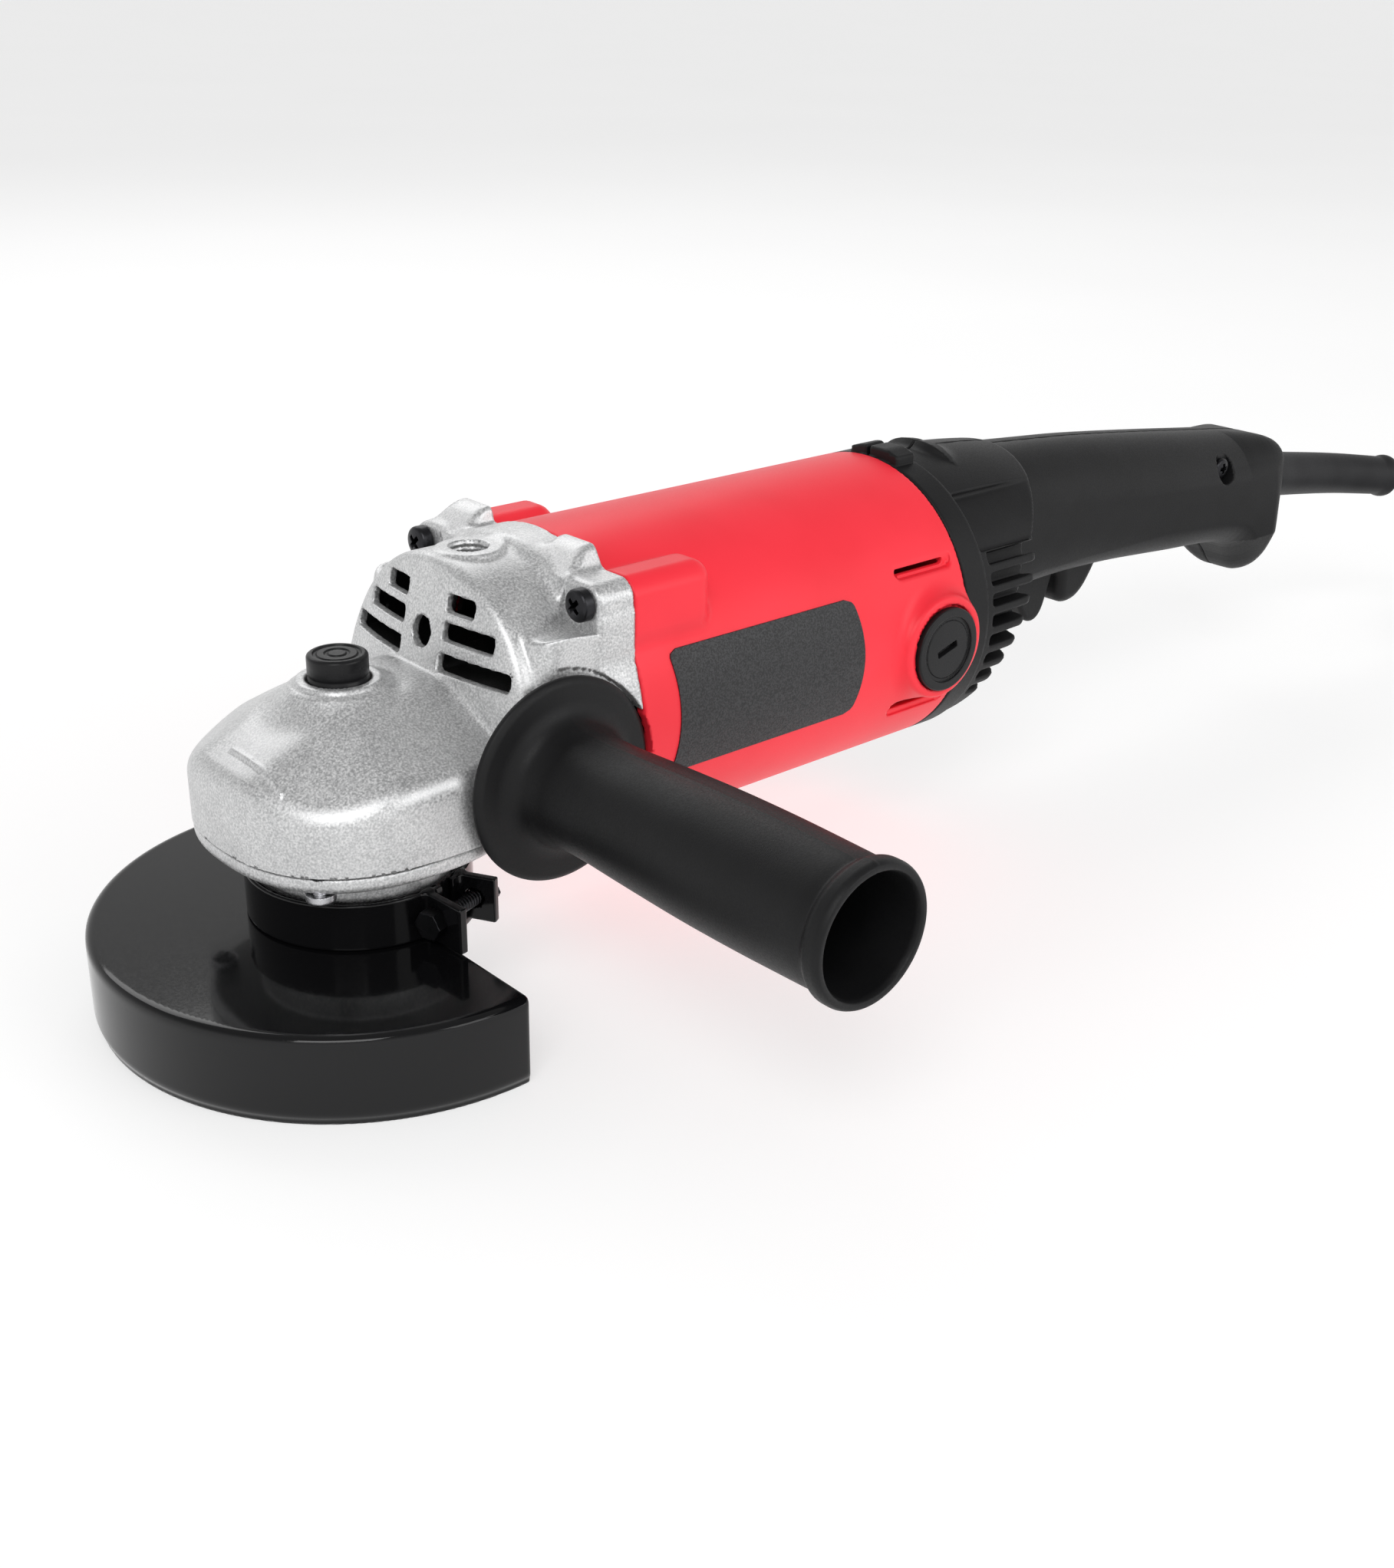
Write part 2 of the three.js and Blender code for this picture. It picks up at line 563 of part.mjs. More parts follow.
function brushSpring(side) {
  const steps = 30;
  const points = Array.from({ length: steps + 1 }, (_, i) => {
    const share = i / steps;
    const angle = share * 3 * 2 * Math.PI;
    const y = side * (27.8 + share * 7.4);
    return new THREE.Vector3(BRUSH_X + 2 * Math.cos(angle), y, BRUSH_Z + 2 * Math.sin(angle));
  });
  return tube(points, 0.4, 5, steps);
}

// A brush cap about its own Z, which points out of the housing.
function brushCap() {
  const shape = turned([[0, 36], [10, 36], [10, 45.9], [12.1, 45.9], [12.1, 47.2], [11.5, 47.8],
    [8.8, 47.8], [8.8, 47.2], [0, 47.2], [0, 36]], 24);
  return shape.subtract(box([-3.6, -0.75, 45.4], [3.6, 0.75, 49]));
}

// The grip's side outline, from the drum back to the hook.
const GRIP_OUTLINE = [[206, 106.6], [230, 104.8], [253, 102.9], [277, 100.8], [311, 96.9], [348, 92.6],
  [366, 90.2], [376, 87.4], [381.6, 82.5], [383, 72], [383.4, 53], [381.4, 44.2], [376, 39.2], [370.5, 38.6],
  [366, 41.2], [360.5, 47.2], [353, 52.8], [338, 55.3], [303, 58.2], [268, 60.6], [240, 60.5], [206, 59]];

// The grip's hollow, inside the wall.
const GRIP_HOLLOW = [[200, 100], [230, 99], [253, 97.6], [277, 95.6], [311, 91.8], [348, 88], [368, 84.6],
  [377, 79], [379.4, 66], [379.2, 54], [376.2, 47], [369.5, 46.2], [359, 54], [340, 60], [302, 62.6],
  [272, 65], [200, 64]];

// The small hook that guards the trigger from behind.
const STUB_OUTLINE = [[293, 63], [287.5, 59], [284, 54], [280.5, 49.6], [276, 46.8], [270.5, 46.4],
  [267.4, 49], [266.8, 56], [266.8, 63]];

function tailBody() {
  const drum = joined(
    rodX(MOTOR_R, MOTOR_REAR + GAP, 188, 0, MOTOR_Z, 48),
    rodX(MOTOR_R - 1.2, 187, 228, 0, MOTOR_Z, 48).intersect(sidePlate(
      [[180, 20], [190.4, 20], [215.5, 86], [228, 99.5], [228, 112], [180, 112]], -50, 50)),
  );
  const grip = sidePlate(GRIP_OUTLINE, -GRIP_HALF, GRIP_HALF, 6, 3);
  const stub = sidePlate(STUB_OUTLINE, -8.5, 8.5, 1.5);
  const clip = [box([178, -11, 104], [186, 0, 112]), box([178, 0, 104], [186, 6.8, 112])];
  return joined(drum, grip, stub, ...clip);
}

function tailHollow() {
  const drum = joined(
    rodX(MOTOR_R - 4.2, 170, 187, 0, MOTOR_Z, 32),
    rodX(33.5, 186, 206, 0, MOTOR_Z, 32),
  );
  return joined(drum, sidePlate(GRIP_HOLLOW, -GRIP_HALF + 4, GRIP_HALF - 4, 3));
}

// Air slots around both sides of the drum, between fins that run along X.
function drumSlots() {
  const cutters = [];
  for (const side of [0, 180]) {
    for (let i = 0; i < 8; i += 1) {
      const slot = new THREE.BoxGeometry(10, 3.5, 27).translate(40.8, 0, 204.1);
      slot.rotateZ(THREE.MathUtils.degToRad(90 + side + (i - 2.96) * 8.5 * (side ? -1 : 1)));
      cutters.push(solid(slot.applyMatrix4(TO_X).translate(0, 0, MOTOR_Z)));
    }
  }
  return cutters;
}

function handleHalf(side) {
  const cuts = [
    tailHollow(),
    ...drumSlots(),
    box([236, -7.5, 40], [266, 7.5, 66]),
    rodX(9, 378, 395, 0, 70, 28),
    rodY(15.4, -50, -30, BRUSH_X, BRUSH_Z),
    rodY(15.4, 30, 50, BRUSH_X, BRUSH_Z),
    rodY(4.9, -25, -15, 341, 82.6, 20),
    rodY(2.4, -25, 25, 341, 82.6, 16),
  ];
  const whole = cutFrom(tailBody(), ...cuts);
  const bosses = [[341, 82.6, 6.8], [300, 86, 5]].map(([x, z, r]) =>
    rodY(r, -GRIP_HALF + 1, GRIP_HALF - 1, x, z, 20).subtract(rodY(2.4, -25, 25, x, z, 16)));
  const pinEars = rodY(4, -12, 12, 240, 72, 16).subtract(rodY(1.8, -30, 30, 240, 72, 12));
  const earArm = [box([236.5, 8.5, 72], [243.5, 11.5, 106]), box([236.5, -11.5, 72], [243.5, -8.5, 106])];
  const ears = joined(pinEars, ...earArm).subtract(box([230, -8.5, 60], [250, 8.5, 100]))
    .subtract(rodY(1.8, -30, 30, 240, 72, 12));
  const bossClear = rodY(4.9, -25, -15, 341, 82.6, 20);
  const filled = joined(whole, ...bosses, ears).subtract(bossClear);
  const half = side > 0 ? box([150, 0.15, 20], [400, 60, 130]) : box([150, -60, 20], [400, -0.15, 130]);
  return filled.intersect(half);
}

function trigger() {
  const outline = [[236, 66.5], [238, 76], [243, 75.5], [262, 67.5], [265, 63], [262.5, 54],
    [258, 45.4], [254, 43.4], [250, 45.4], [244, 56], [240, 61]];
  return sidePlate(outline, -6.8, 6.8, 0.8).subtract(rodY(1.8, -20, 20, 240, 72, 14));
}

function switchBody() {
  return box([246, -8, 76], [284, 8, 94]);
}

// The sleeve's line: out of the tail and slowly down to where the bare cord starts.
const SLEEVE_LINE = [[380.3, 0, 70.2], [388, 0, 69.5], [408, -1, 67], [436, -5.5, 63.6], [463, -14, 60]]
  .map(([x, y, z]) => new THREE.Vector3(x, y, z));

function strainRelief() {
  const steps = 10;
  const path = new THREE.CatmullRomCurve3(SLEEVE_LINE, false, "centripetal");
  const frames = path.computeFrenetFrames(steps, false);
  const radii = Array.from({ length: steps + 1 }, (_, i) => (i === steps ? 8.1 : 8.5 - (i / steps) * 1.2));
  return loft(path, frames, radii, steps, 14);
}

// A closed body with a round section of changing radius along a path.
function loft(path, frames, radii, steps, sides) {
  const points = [];
  const faces = [];
  for (let i = 0; i <= steps; i += 1) {
    const centre = path.getPointAt(i / steps);
    for (let k = 0; k < sides; k += 1) {
      const angle = (k / sides) * 2 * Math.PI;
      const out = frames.normals[i].clone().multiplyScalar(radii[i] * Math.cos(angle));
      out.addScaledVector(frames.binormals[i], radii[i] * Math.sin(angle)).add(centre);
      points.push(out.x, out.y, out.z);
    }
  }
  for (let i = 0; i < steps; i += 1) {
    for (let k = 0; k < sides; k += 1) {
      const next = (k + 1) % sides;
      const a = i * sides + k;
      const b = i * sides + next;
      faces.push(a, b, a + sides, b, b + sides, a + sides);
    }
  }
  for (let k = 1; k < sides - 1; k += 1) {
    faces.push(0, k + 1, k);
    faces.push(steps * sides, steps * sides + k, steps * sides + k + 1);
  }
  const geometry = new THREE.BufferGeometry();
  geometry.setAttribute("position", new THREE.BufferAttribute(new Float32Array(points), 3));
  geometry.setIndex(faces);
  return solid(geometry);
}

// The cord's open stretch: out of the sleeve, down to the floor and round to the coil's side.
const CORD_ROUTE = [[463.3, -14.1, 60], [470, -16.2, 58.6], [480, -19.4, 55.2], [491, -23, 48.6],
  [501, -26.6, 38.5], [509, -29.6, 27.5], [518, -33.4, 17], [528, -38.2, 9.4], [538, -44.8, 5.3],
  [545.2, -53, 4.1], [548.8, -61, 3.85]];

function cord() {
  const points = CORD_ROUTE.map(([x, y, z]) => new THREE.Vector3(x, y, z));
  return tube(points, CORD_R - 0.05, 10, 16);
}

function cordCoil() {
  return ring(COIL.outer, COIL.inner, 0.05, COIL.height, 32);
}

// A flat two-pin mains plug about its own Z, which points from the cord to the pins.
function plug() {
  const plan = [[-6, 0], [-9.5, 4], [-12, 14], [-17.5, 24], [-17.8, 42], [17.8, 42], [17.5, 24],
    [12, 14], [9.5, 4], [6, 0]];
  const settings = { depth: 11, bevelEnabled: true, bevelThickness: 2, bevelSize: 2, bevelOffset: -2, bevelSegments: 2 };
  const body = new THREE.ExtrudeGeometry(shapeOf(plan), settings).translate(0, 0, -5.5).rotateX(Math.PI / 2);
  const relief = new THREE.CylinderGeometry(5.4, 4.2, 22, 16).rotateX(Math.PI / 2).translate(0, 0, -9);
  const pins = [-9.5, 9.5].map((x) => rod(2.4, 41, 61, 14, x, 0));
  return joined(solid(body), solid(relief), ...pins);
}

// The assembly.
const grinder = new THREE.Group();
grinder.name = "angle_grinder";

const head = new THREE.Group();
head.add(piece("gear_housing", gearHousing(), "cast"));
head.add(piece("bearing_cover", bearingCover(), "cast"));
corners(26, 26).forEach(([x, y], i) => {
  const screw = piece(`cover_screw_${i + 1}`, coverScrew(), "steel");
  screw.position.set(x, y, 0);
  head.add(screw);
});
HOUSING_SCREWS.forEach(([y, dz], i) => {
  const screw = piece(`housing_screw_${i + 1}`, housingScrew(), "darkSteel");
  screw.rotation.y = Math.PI / 2;
  screw.position.set(46 - GAP, y, MOTOR_Z + dz);
  head.add(screw);
});
head.add(piece("spindle", spindle(), "steel"));
head.add(piece("drive_gear", driveGear(), "darkSteel"));
head.add(piece("lower_bearing", ring(17.5, 7.8, 31, 42), "steel"));
head.add(piece("upper_bush", ring(8, 5.3, 62.8, 69.6, 20), "brass"));
head.add(piece("inner_flange", innerFlange(), "steel"));
head.add(piece("lock_nut", lockNut(), "darkSteel"));

const lock = new THREE.Group();
lock.position.x = LOCK_X;
lock.add(piece("lock_button", lockButton(), "blackPlastic"));
lock.add(piece("lock_pin", lockPin(), "steel"));
lock.add(piece("lock_spring", lockSpring(), "steel"));

const guard = new THREE.Group();
guard.add(piece("wheel_guard", wheelGuard(), "blackPaint"));
guard.add(piece("clamp_band", clampBand(), "blackPaint"));
guard.add(piece("clamp_bolt", clampBolt(), "darkSteel"));
guard.add(piece("clamp_nut", clampNut(), "darkSteel"));

const sideGrip = new THREE.Group();
sideGrip.rotation.x = Math.PI / 2;
sideGrip.position.set(HANDLE_X, -HANDLE_SEAT_Y - GAP, HANDLE_Z);
sideGrip.add(piece("side_handle", sideHandle(), "blackPlastic"));
sideGrip.add(piece("handle_stud", handleStud(), "steel"));

const motorCase = new THREE.Group();
motorCase.add(piece("motor_housing", motorHousing(), "redPlastic"));
motorCase.add(piece("label_plate", labelPlate(), "label"));
for (const [name, side] of [["left", -1], ["right", 1]]) {
  motorCase.add(piece(`brush_holder_${name}`, brushHolder(side), "brass"));
  motorCase.add(piece(`carbon_brush_${name}`, carbonBrush(side), "carbon"));
  motorCase.add(piece(`brush_spring_${name}`, brushSpring(side), "steel"));
  const cap = piece(`brush_cap_${name}`, brushCap(), "blackPlastic");
  cap.position.set(BRUSH_X, 0, BRUSH_Z);
  cap.rotation.x = (-side * Math.PI) / 2;
  motorCase.add(cap);
}

// Inside this group Z runs along the armature, so a piece's z is its place along X.
const motor = new THREE.Group();
motor.rotation.y = Math.PI / 2;
motor.position.z = MOTOR_Z;
motor.add(piece("stator_core", statorCore(), "darkSteel"));
motor.add(piece("field_winding_front", ring(37, 26, 67.5, 73.6), "copper"));
motor.add(piece("field_winding_rear", ring(37, 26, 118.4, 125), "copper"));
motor.add(piece("fan_baffle", fanBaffle(), "blackPlastic"));
motor.add(piece("front_bearing", ring(13, 5.4, 30, 40, 24), "steel"));
motor.add(piece("rear_bearing", ring(11, 4.4, 176, 183.5, 24), "steel"));
motor.add(piece("armature_shaft", turned([[0, 13.5], [3, 13.5], [3, 29], [5, 29], [5, 175.4], [4.1, 175.4],
  [4.1, 186], [0, 186], [0, 13.5]], 20), "steel"));
motor.add(piece("armature_core", ring(24.2, 5.3, 74, 118), "darkSteel"));
motor.add(piece("armature_winding_front", turned([[5.3, 66.5], [14, 66.5], [21.5, 69], [22.5, 73.7],
  [5.3, 73.7], [5.3, 66.5]]), "copper"));
motor.add(piece("armature_winding_rear", turned([[5.3, 118.3], [22.5, 118.3], [21, 124], [13, 133],
  [5.3, 133], [5.3, 118.3]]), "copper"));
motor.add(piece("commutator", ring(14, 5.3, 158, 174, 24), "copper"));
motor.add(piece("fan", fan(), "blackPlastic"));
motor.add(piece("pinion", pinion(), "darkSteel"));

const tail = new THREE.Group();
tail.add(piece("handle_shell_left", handleHalf(-1), "blackPlastic"));
tail.add(piece("handle_shell_right", handleHalf(1), "blackPlastic"));
tail.add(piece("trigger", trigger(), "blackPlastic"));
tail.add(piece("trigger_pin", rodY(1.5, -11.3, 11.3, 240, 72, 14), "steel"));
tail.add(piece("switch_body", switchBody(), "blackPlastic"));
const gripScrew = piece("handle_screw", turned(screwProfile(0, 22, 3.4, 2.4, 2), 14), "darkSteel");
gripScrew.rotation.x = -Math.PI / 2;
gripScrew.position.set(341, -15.3, 82.6);
tail.add(gripScrew);

const lead = new THREE.Group();
lead.add(piece("strain_relief", strainRelief(), "rubber"));
lead.add(piece("cord", cord(), "rubber"));
const coil = piece("cord_coil", cordCoil(), "rubber");
coil.position.set(COIL.x, COIL.y, 0);
lead.add(coil);
const mainsPlug = piece("plug", plug(), "rubber");
mainsPlug.rotation.set(0, -Math.PI / 2, Math.PI / 2);
mainsPlug.position.set(428, -152, 8);
lead.add(mainsPlug);

grinder.add(head, lock, guard, sideGrip, motorCase, motor, tail, lead);

export default grinder;
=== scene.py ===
"""The looks of a corded angle grinder. Sizes are in millimetres until a mesh is made."""
import math

import bmesh
import bpy
import numpy as np
from mathutils import Matrix, Vector


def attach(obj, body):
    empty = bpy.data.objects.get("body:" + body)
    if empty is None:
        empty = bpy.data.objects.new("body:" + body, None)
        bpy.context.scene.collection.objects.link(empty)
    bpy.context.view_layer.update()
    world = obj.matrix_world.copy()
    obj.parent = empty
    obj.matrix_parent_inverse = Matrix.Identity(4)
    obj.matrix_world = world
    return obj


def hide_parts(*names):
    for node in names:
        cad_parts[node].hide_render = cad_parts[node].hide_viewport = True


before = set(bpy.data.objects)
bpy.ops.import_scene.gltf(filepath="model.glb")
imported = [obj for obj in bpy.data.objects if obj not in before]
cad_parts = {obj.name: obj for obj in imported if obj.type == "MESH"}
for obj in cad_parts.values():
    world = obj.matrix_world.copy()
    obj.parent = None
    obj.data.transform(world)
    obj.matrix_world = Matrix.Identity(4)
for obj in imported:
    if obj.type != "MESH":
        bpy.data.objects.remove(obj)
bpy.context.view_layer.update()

MM = 0.001
MOTOR_Z = 66.5
MOTOR_R = 42.9
HANDLE_X, HANDLE_Z = 32.8, 60.5


# ---------------------------------------------------------------- camera
CAMERA_PLACE = (-214.29, -361.23, 240.69)
CAMERA_ANGLES = (-42.22, 24.14, 1.1)  # round Z from -Y, above the floor, and roll
FOCAL_LENGTH, PICTURE_HEIGHT, SENSOR = 2400.45, 2044, 36


def add_camera():
    az, el, roll = (math.radians(angle) for angle in CAMERA_ANGLES)
    back = Vector((math.sin(az) * math.cos(el), -math.cos(az) * math.cos(el), math.sin(el)))
    right = Vector((0, 0, 1)).cross(back).normalized()
    up = back.cross(right)
    tilted = math.cos(roll) * right + math.sin(roll) * up
    top = -math.sin(roll) * right + math.cos(roll) * up
    data = bpy.data.cameras.new("camera")
    data.lens = FOCAL_LENGTH / PICTURE_HEIGHT * SENSOR
    data.sensor_width = SENSOR
    data.clip_start, data.clip_end = 0.02, 20
    camera = bpy.data.objects.new("camera", data)
    turn = Matrix((tilted, top, back)).transposed().to_4x4()
    camera.matrix_world = Matrix.Translation(Vector(CAMERA_PLACE) * MM) @ turn
    bpy.context.scene.collection.objects.link(camera)
    bpy.context.scene.camera = camera


add_camera()
bpy.context.scene.view_settings.view_transform = "Standard"


# ---------------------------------------------------------------- materials
class Nodes:
    """A material's nodes, with its Principled shader."""

    def __init__(self, name, colour, roughness, metallic=0.0):
        self.material = bpy.data.materials.new(name)
        self.material.use_nodes = True
        self.tree = self.material.node_tree
        self.shader = next(n for n in self.tree.nodes if n.type == "BSDF_PRINCIPLED")
        self.set("Base Color", (*colour, 1))
        self.set("Roughness", roughness)
        self.set("Metallic", metallic)
        self.place = self.add("ShaderNodeTexCoord").outputs["Object"]

    def add(self, kind, **settings):
        node = self.tree.nodes.new(kind)
        for key, value in settings.items():
            setattr(node, key, value)
        return node

    def set(self, socket, value):
        self.shader.inputs[socket].default_value = value

    def join(self, a, b):
        self.tree.links.new(a, b)

    def feed(self, value, socket):
        self.join(value, self.shader.inputs[socket])

    def noise(self, size, detail=2.0, rough=0.5, stretch=None):
        """Noise whose blobs are about size millimetres."""
        node = self.add("ShaderNodeTexNoise")
        node.inputs["Scale"].default_value = 1 / (size * MM)
        node.inputs["Detail"].default_value = detail
        node.inputs["Roughness"].default_value = rough
        if stretch:
            scale = self.add("ShaderNodeMapping")
            scale.inputs["Scale"].default_value = stretch
            self.join(self.place, scale.inputs["Vector"])
            self.join(scale.outputs["Vector"], node.inputs["Vector"])
        else:
            self.join(self.place, node.inputs["Vector"])
        return node.outputs["Fac"]

    def ramp(self, value, stops):
        node = self.add("ShaderNodeValToRGB")
        elements = node.color_ramp.elements
        while len(elements) < len(stops):
            elements.new(0.5)
        for element, (at, colour) in zip(elements, stops):
            element.position = at
            element.color = (*colour, 1) if len(colour) == 3 else colour
        self.join(value, node.inputs["Fac"])
        return node.outputs["Color"]

    def grey(self, value, low, high, start=0.3, end=0.7):
        """The value spread from low to high, as a number."""
        node = self.add("ShaderNodeMapRange")
        node.inputs["From Min"].default_value = start
        node.inputs["From Max"].default_value = end
        node.inputs["To Min"].default_value = low
        node.inputs["To Max"].default_value = high
        self.join(value, node.inputs["Value"])
        return node.outputs["Result"]

    def math(self, operation, a, b=0.0, c=0.0):
        node = self.add("ShaderNodeMath", operation=operation)
        for socket, value in zip(node.inputs, (a, b, c)):
            if isinstance(value, float):
                socket.default_value = value
            else:
                self.join(value, socket)
        return node.outputs[0]

    def bump(self, height, distance, strength=1.0, under=None):
        node = self.add("ShaderNodeBump")
        node.inputs["Distance"].default_value = distance * MM
        node.inputs["Strength"].default_value = strength
        self.join(height, node.inputs["Height"])
        if under is not None:
            self.join(under, node.inputs["Normal"])
        return node.outputs["Normal"]


def cast_aluminium():
    m = Nodes("cast_aluminium", (0.6, 0.61, 0.62), 0.42, 0.75)
    flakes = m.noise(0.55, 1.0, 0.6)
    cloud = m.noise(9, 3.0)
    mixed = m.add("ShaderNodeMath", operation="ADD")
    m.join(m.grey(flakes, -0.17, 0.17), mixed.inputs[0])
    m.join(m.grey(cloud, 0.46, 0.54), mixed.inputs[1])
    tones = [(0.3, (0.42, 0.424, 0.428)), (0.5, (0.6, 0.603, 0.606)), (0.7, (0.8, 0.8, 0.8))]
    m.feed(m.ramp(mixed.outputs[0], tones), "Base Color")
    m.feed(m.grey(flakes, 0.34, 0.52), "Roughness")
    m.feed(m.bump(flakes, 0.05, 0.5, m.bump(cloud, 0.12, 0.4)), "Normal")
    return m


def duct_shade_aluminium():
    """The same casting, with painted shade: near black and not metallic inside the air duct behind the vents, where
    the duct's inside lies in shadow.
    """
    m = cast_aluminium()
    m.material.name = "cast_aluminium_head_duct_shade"
    # The mask of the duct's inside, where the shade is painted.
    parts = m.add("ShaderNodeSeparateXYZ")
    m.join(m.place, parts.inputs[0])
    lean = m.math("MULTIPLY_ADD", parts.outputs[2], -0.24, 0.24 * 0.084 - 0.0222)
    bulge = m.math("MULTIPLY", m.math("MULTIPLY", parts.outputs[1], parts.outputs[1]), 4.0)
    ahead = m.math("SUBTRACT", m.math("ADD", parts.outputs[0], lean), bulge)
    up = m.math("SUBTRACT", parts.outputs[2], 0.0693)
    across = parts.outputs[1]
    out = m.math("SQRT", m.math("ADD", m.math("MULTIPLY", up, up), m.math("MULTIPLY", across, across)))
    inside = m.math("MULTIPLY", m.math("GREATER_THAN", ahead, 0.0), m.math("LESS_THAN", out, 0.0362))
    inside = m.math("MULTIPLY", inside, m.math("GREATER_THAN", parts.outputs[2], 0.0802))
    inside = m.math("MULTIPLY", inside, m.math("LESS_THAN", parts.outputs[0], 0.0575))
    # Painted shade: inside the duct the colour goes near black and the metal turns dull, standing in for the shadow
    # deep in the duct.
    colour = m.shader.inputs["Base Color"].links[0].from_socket
    mix = m.add("ShaderNodeMix", data_type="RGBA")
    m.join(inside, mix.inputs[0])
    m.join(colour, mix.inputs[6])
    mix.inputs[7].default_value = (0.006, 0.006, 0.006, 1)
    m.feed(mix.outputs[2], "Base Color")
    bright = m.math("SUBTRACT", 0.75, m.math("MULTIPLY", inside, 0.75))
    m.feed(bright, "Metallic")
    return m


def red_plastic():
    m = Nodes("red_plastic", (0.9, 0.024, 0.042), 0.42)
    m.set("Specular IOR Level", 0.35)
    fine = m.noise(0.35, 2.0, 0.6)
    broad = m.noise(30, 2.0)
    tones = [(0.35, (0.86, 0.022, 0.039)), (0.65, (0.91, 0.027, 0.047))]
    m.feed(m.ramp(broad, tones), "Base Color")
    m.feed(m.grey(fine, 0.38, 0.46), "Roughness")
    m.feed(m.bump(fine, 0.03, 0.35), "Normal")
    return m.material


def black_plastic(name, grain, depth, roughness, tone=0.006):
    m = Nodes(name, (tone, tone, tone * 1.08), roughness)
    m.set("Specular IOR Level", 0.22)
    fine = m.noise(grain, 2.0, 0.6)
    broad = m.noise(14, 3.0)
    tones = [(0.3, (tone * 0.85, tone * 0.85, tone * 0.92)), (0.7, (tone * 1.3, tone * 1.3, tone * 1.4))]
    m.feed(m.ramp(broad, tones), "Base Color")
    m.feed(m.grey(fine, roughness - 0.06, roughness + 0.06), "Roughness")
    m.feed(m.bump(fine, depth, 0.6), "Normal")
    return m.material


def black_paint():
    m = Nodes("black_paint", (0.004, 0.004, 0.0045), 0.09)
    m.set("Coat Weight", 0.15)
    m.set("Specular IOR Level", 0.26)
    m.set("Coat Roughness", 0.03)
    peel = m.noise(2.2, 2.0)
    m.feed(m.grey(m.noise(0.6, 3.0), 0.06, 0.14), "Roughness")
    m.feed(m.bump(peel, 0.012, 0.5), "Normal")
    return m.material


def metal(name, colour, roughness, grain=0.3, depth=0.02):
    m = Nodes(name, colour, roughness, 1.0)
    fine = m.noise(grain, 3.0, 0.6)
    broad = m.noise(5, 3.0)
    light = tuple(min(1, c * 1.12) for c in colour)
    dark = tuple(c * 0.82 for c in colour)
    m.feed(m.ramp(broad, [(0.3, dark), (0.7, light)]), "Base Color")
    m.feed(m.grey(fine, roughness - 0.07, roughness + 0.1), "Roughness")
    m.feed(m.bump(fine, depth, 0.4), "Normal")
    return m.material


def label_film():
    m = Nodes("label_film", (0.018, 0.018, 0.019), 0.5)
    specks = m.noise(0.5, 1.0, 0.7)
    tones = [(0.42, (0.007, 0.007, 0.008)), (0.62, (0.026, 0.026, 0.028))]
    m.feed(m.ramp(specks, tones), "Base Color")
    m.feed(m.grey(specks, 0.6, 0.4), "Roughness")
    m.feed(m.bump(specks, 0.04, 0.6), "Normal")
    return m.material


def windings():
    m = Nodes("windings", (0.45, 0.16, 0.06), 0.35, 0.9)
    strands = m.noise(0.9, 2.0, 0.5, (1, 1, 6))
    tones = [(0.35, (0.22, 0.07, 0.025)), (0.6, (0.55, 0.21, 0.08))]
    m.feed(m.ramp(strands, tones), "Base Color")
    m.feed(m.bump(strands, 0.3, 0.8), "Normal")
    return m.material


def laminations():
    m = Nodes("laminations", (0.16, 0.16, 0.17), 0.45, 0.9)
    sheets = m.noise(1.0, 1.0, 0.4, (2.2, 0.02, 0.02))
    m.feed(m.ramp(sheets, [(0.4, (0.09, 0.09, 0.1)), (0.6, (0.26, 0.26, 0.27))]), "Base Color")
    m.feed(m.bump(sheets, 0.15, 0.7), "Normal")
    return m.material


CAST = cast_aluminium().material
HEAD_CAST = duct_shade_aluminium().material
RED = red_plastic()
GRIP = black_plastic("moulded_black", 0.5, 0.05, 0.48)
SMOOTH_BLACK = black_plastic("smooth_black", 0.4, 0.02, 0.33, 0.008)
RUBBER = black_plastic("cord_rubber", 0.5, 0.03, 0.5, 0.016)
PAINT = black_paint()
STEEL = metal("bright_steel", (0.56, 0.56, 0.58), 0.28)
BLACK_STEEL = metal("blackened_steel", (0.035, 0.035, 0.038), 0.33)
BRASS = metal("plain_brass", (0.62, 0.46, 0.18), 0.3)
LABEL = label_film()
COPPER = windings()
LAMINATED = laminations()
CARBON = black_plastic("brush_carbon", 0.3, 0.03, 0.7, 0.03)


# ---------------------------------------------------------------- mesh helpers
def new_mesh(name, points, faces, finish, body, nodes, smooth=True, angle=35, normals=None):
    """A mesh piece in millimetres that rides on a body and stands for some CAD nodes."""
    mesh = bpy.data.meshes.new(name)
    points = np.asarray(points, np.float64) * MM
    if isinstance(faces, np.ndarray):
        corners = faces.shape[1]
        mesh.vertices.add(len(points))
        mesh.vertices.foreach_set("co", points.astype(np.float32).ravel())
        mesh.loops.add(faces.size)
        mesh.loops.foreach_set("vertex_index", faces.astype(np.int32).ravel())
        mesh.polygons.add(len(faces))
        mesh.polygons.foreach_set("loop_start", np.arange(0, faces.size, corners, dtype=np.int32))
        mesh.update(calc_edges=True)
        mesh.validate()
    else:
        mesh.from_pydata([tuple(p) for p in points], [], [tuple(f) for f in faces])
        mesh.update()
    mesh.materials.append(finish)
    mesh.polygons.foreach_set("use_smooth", np.full(len(mesh.polygons), smooth))
    if normals is not None:
        mesh.normals_split_custom_set_from_vertices(normals)
    elif smooth:
        mesh.set_sharp_from_angle(angle=math.radians(angle))
    piece = bpy.data.objects.new(name, mesh)
    bpy.context.scene.collection.objects.link(piece)
    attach(piece, body)
    if nodes:
        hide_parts(*nodes)
    return piece


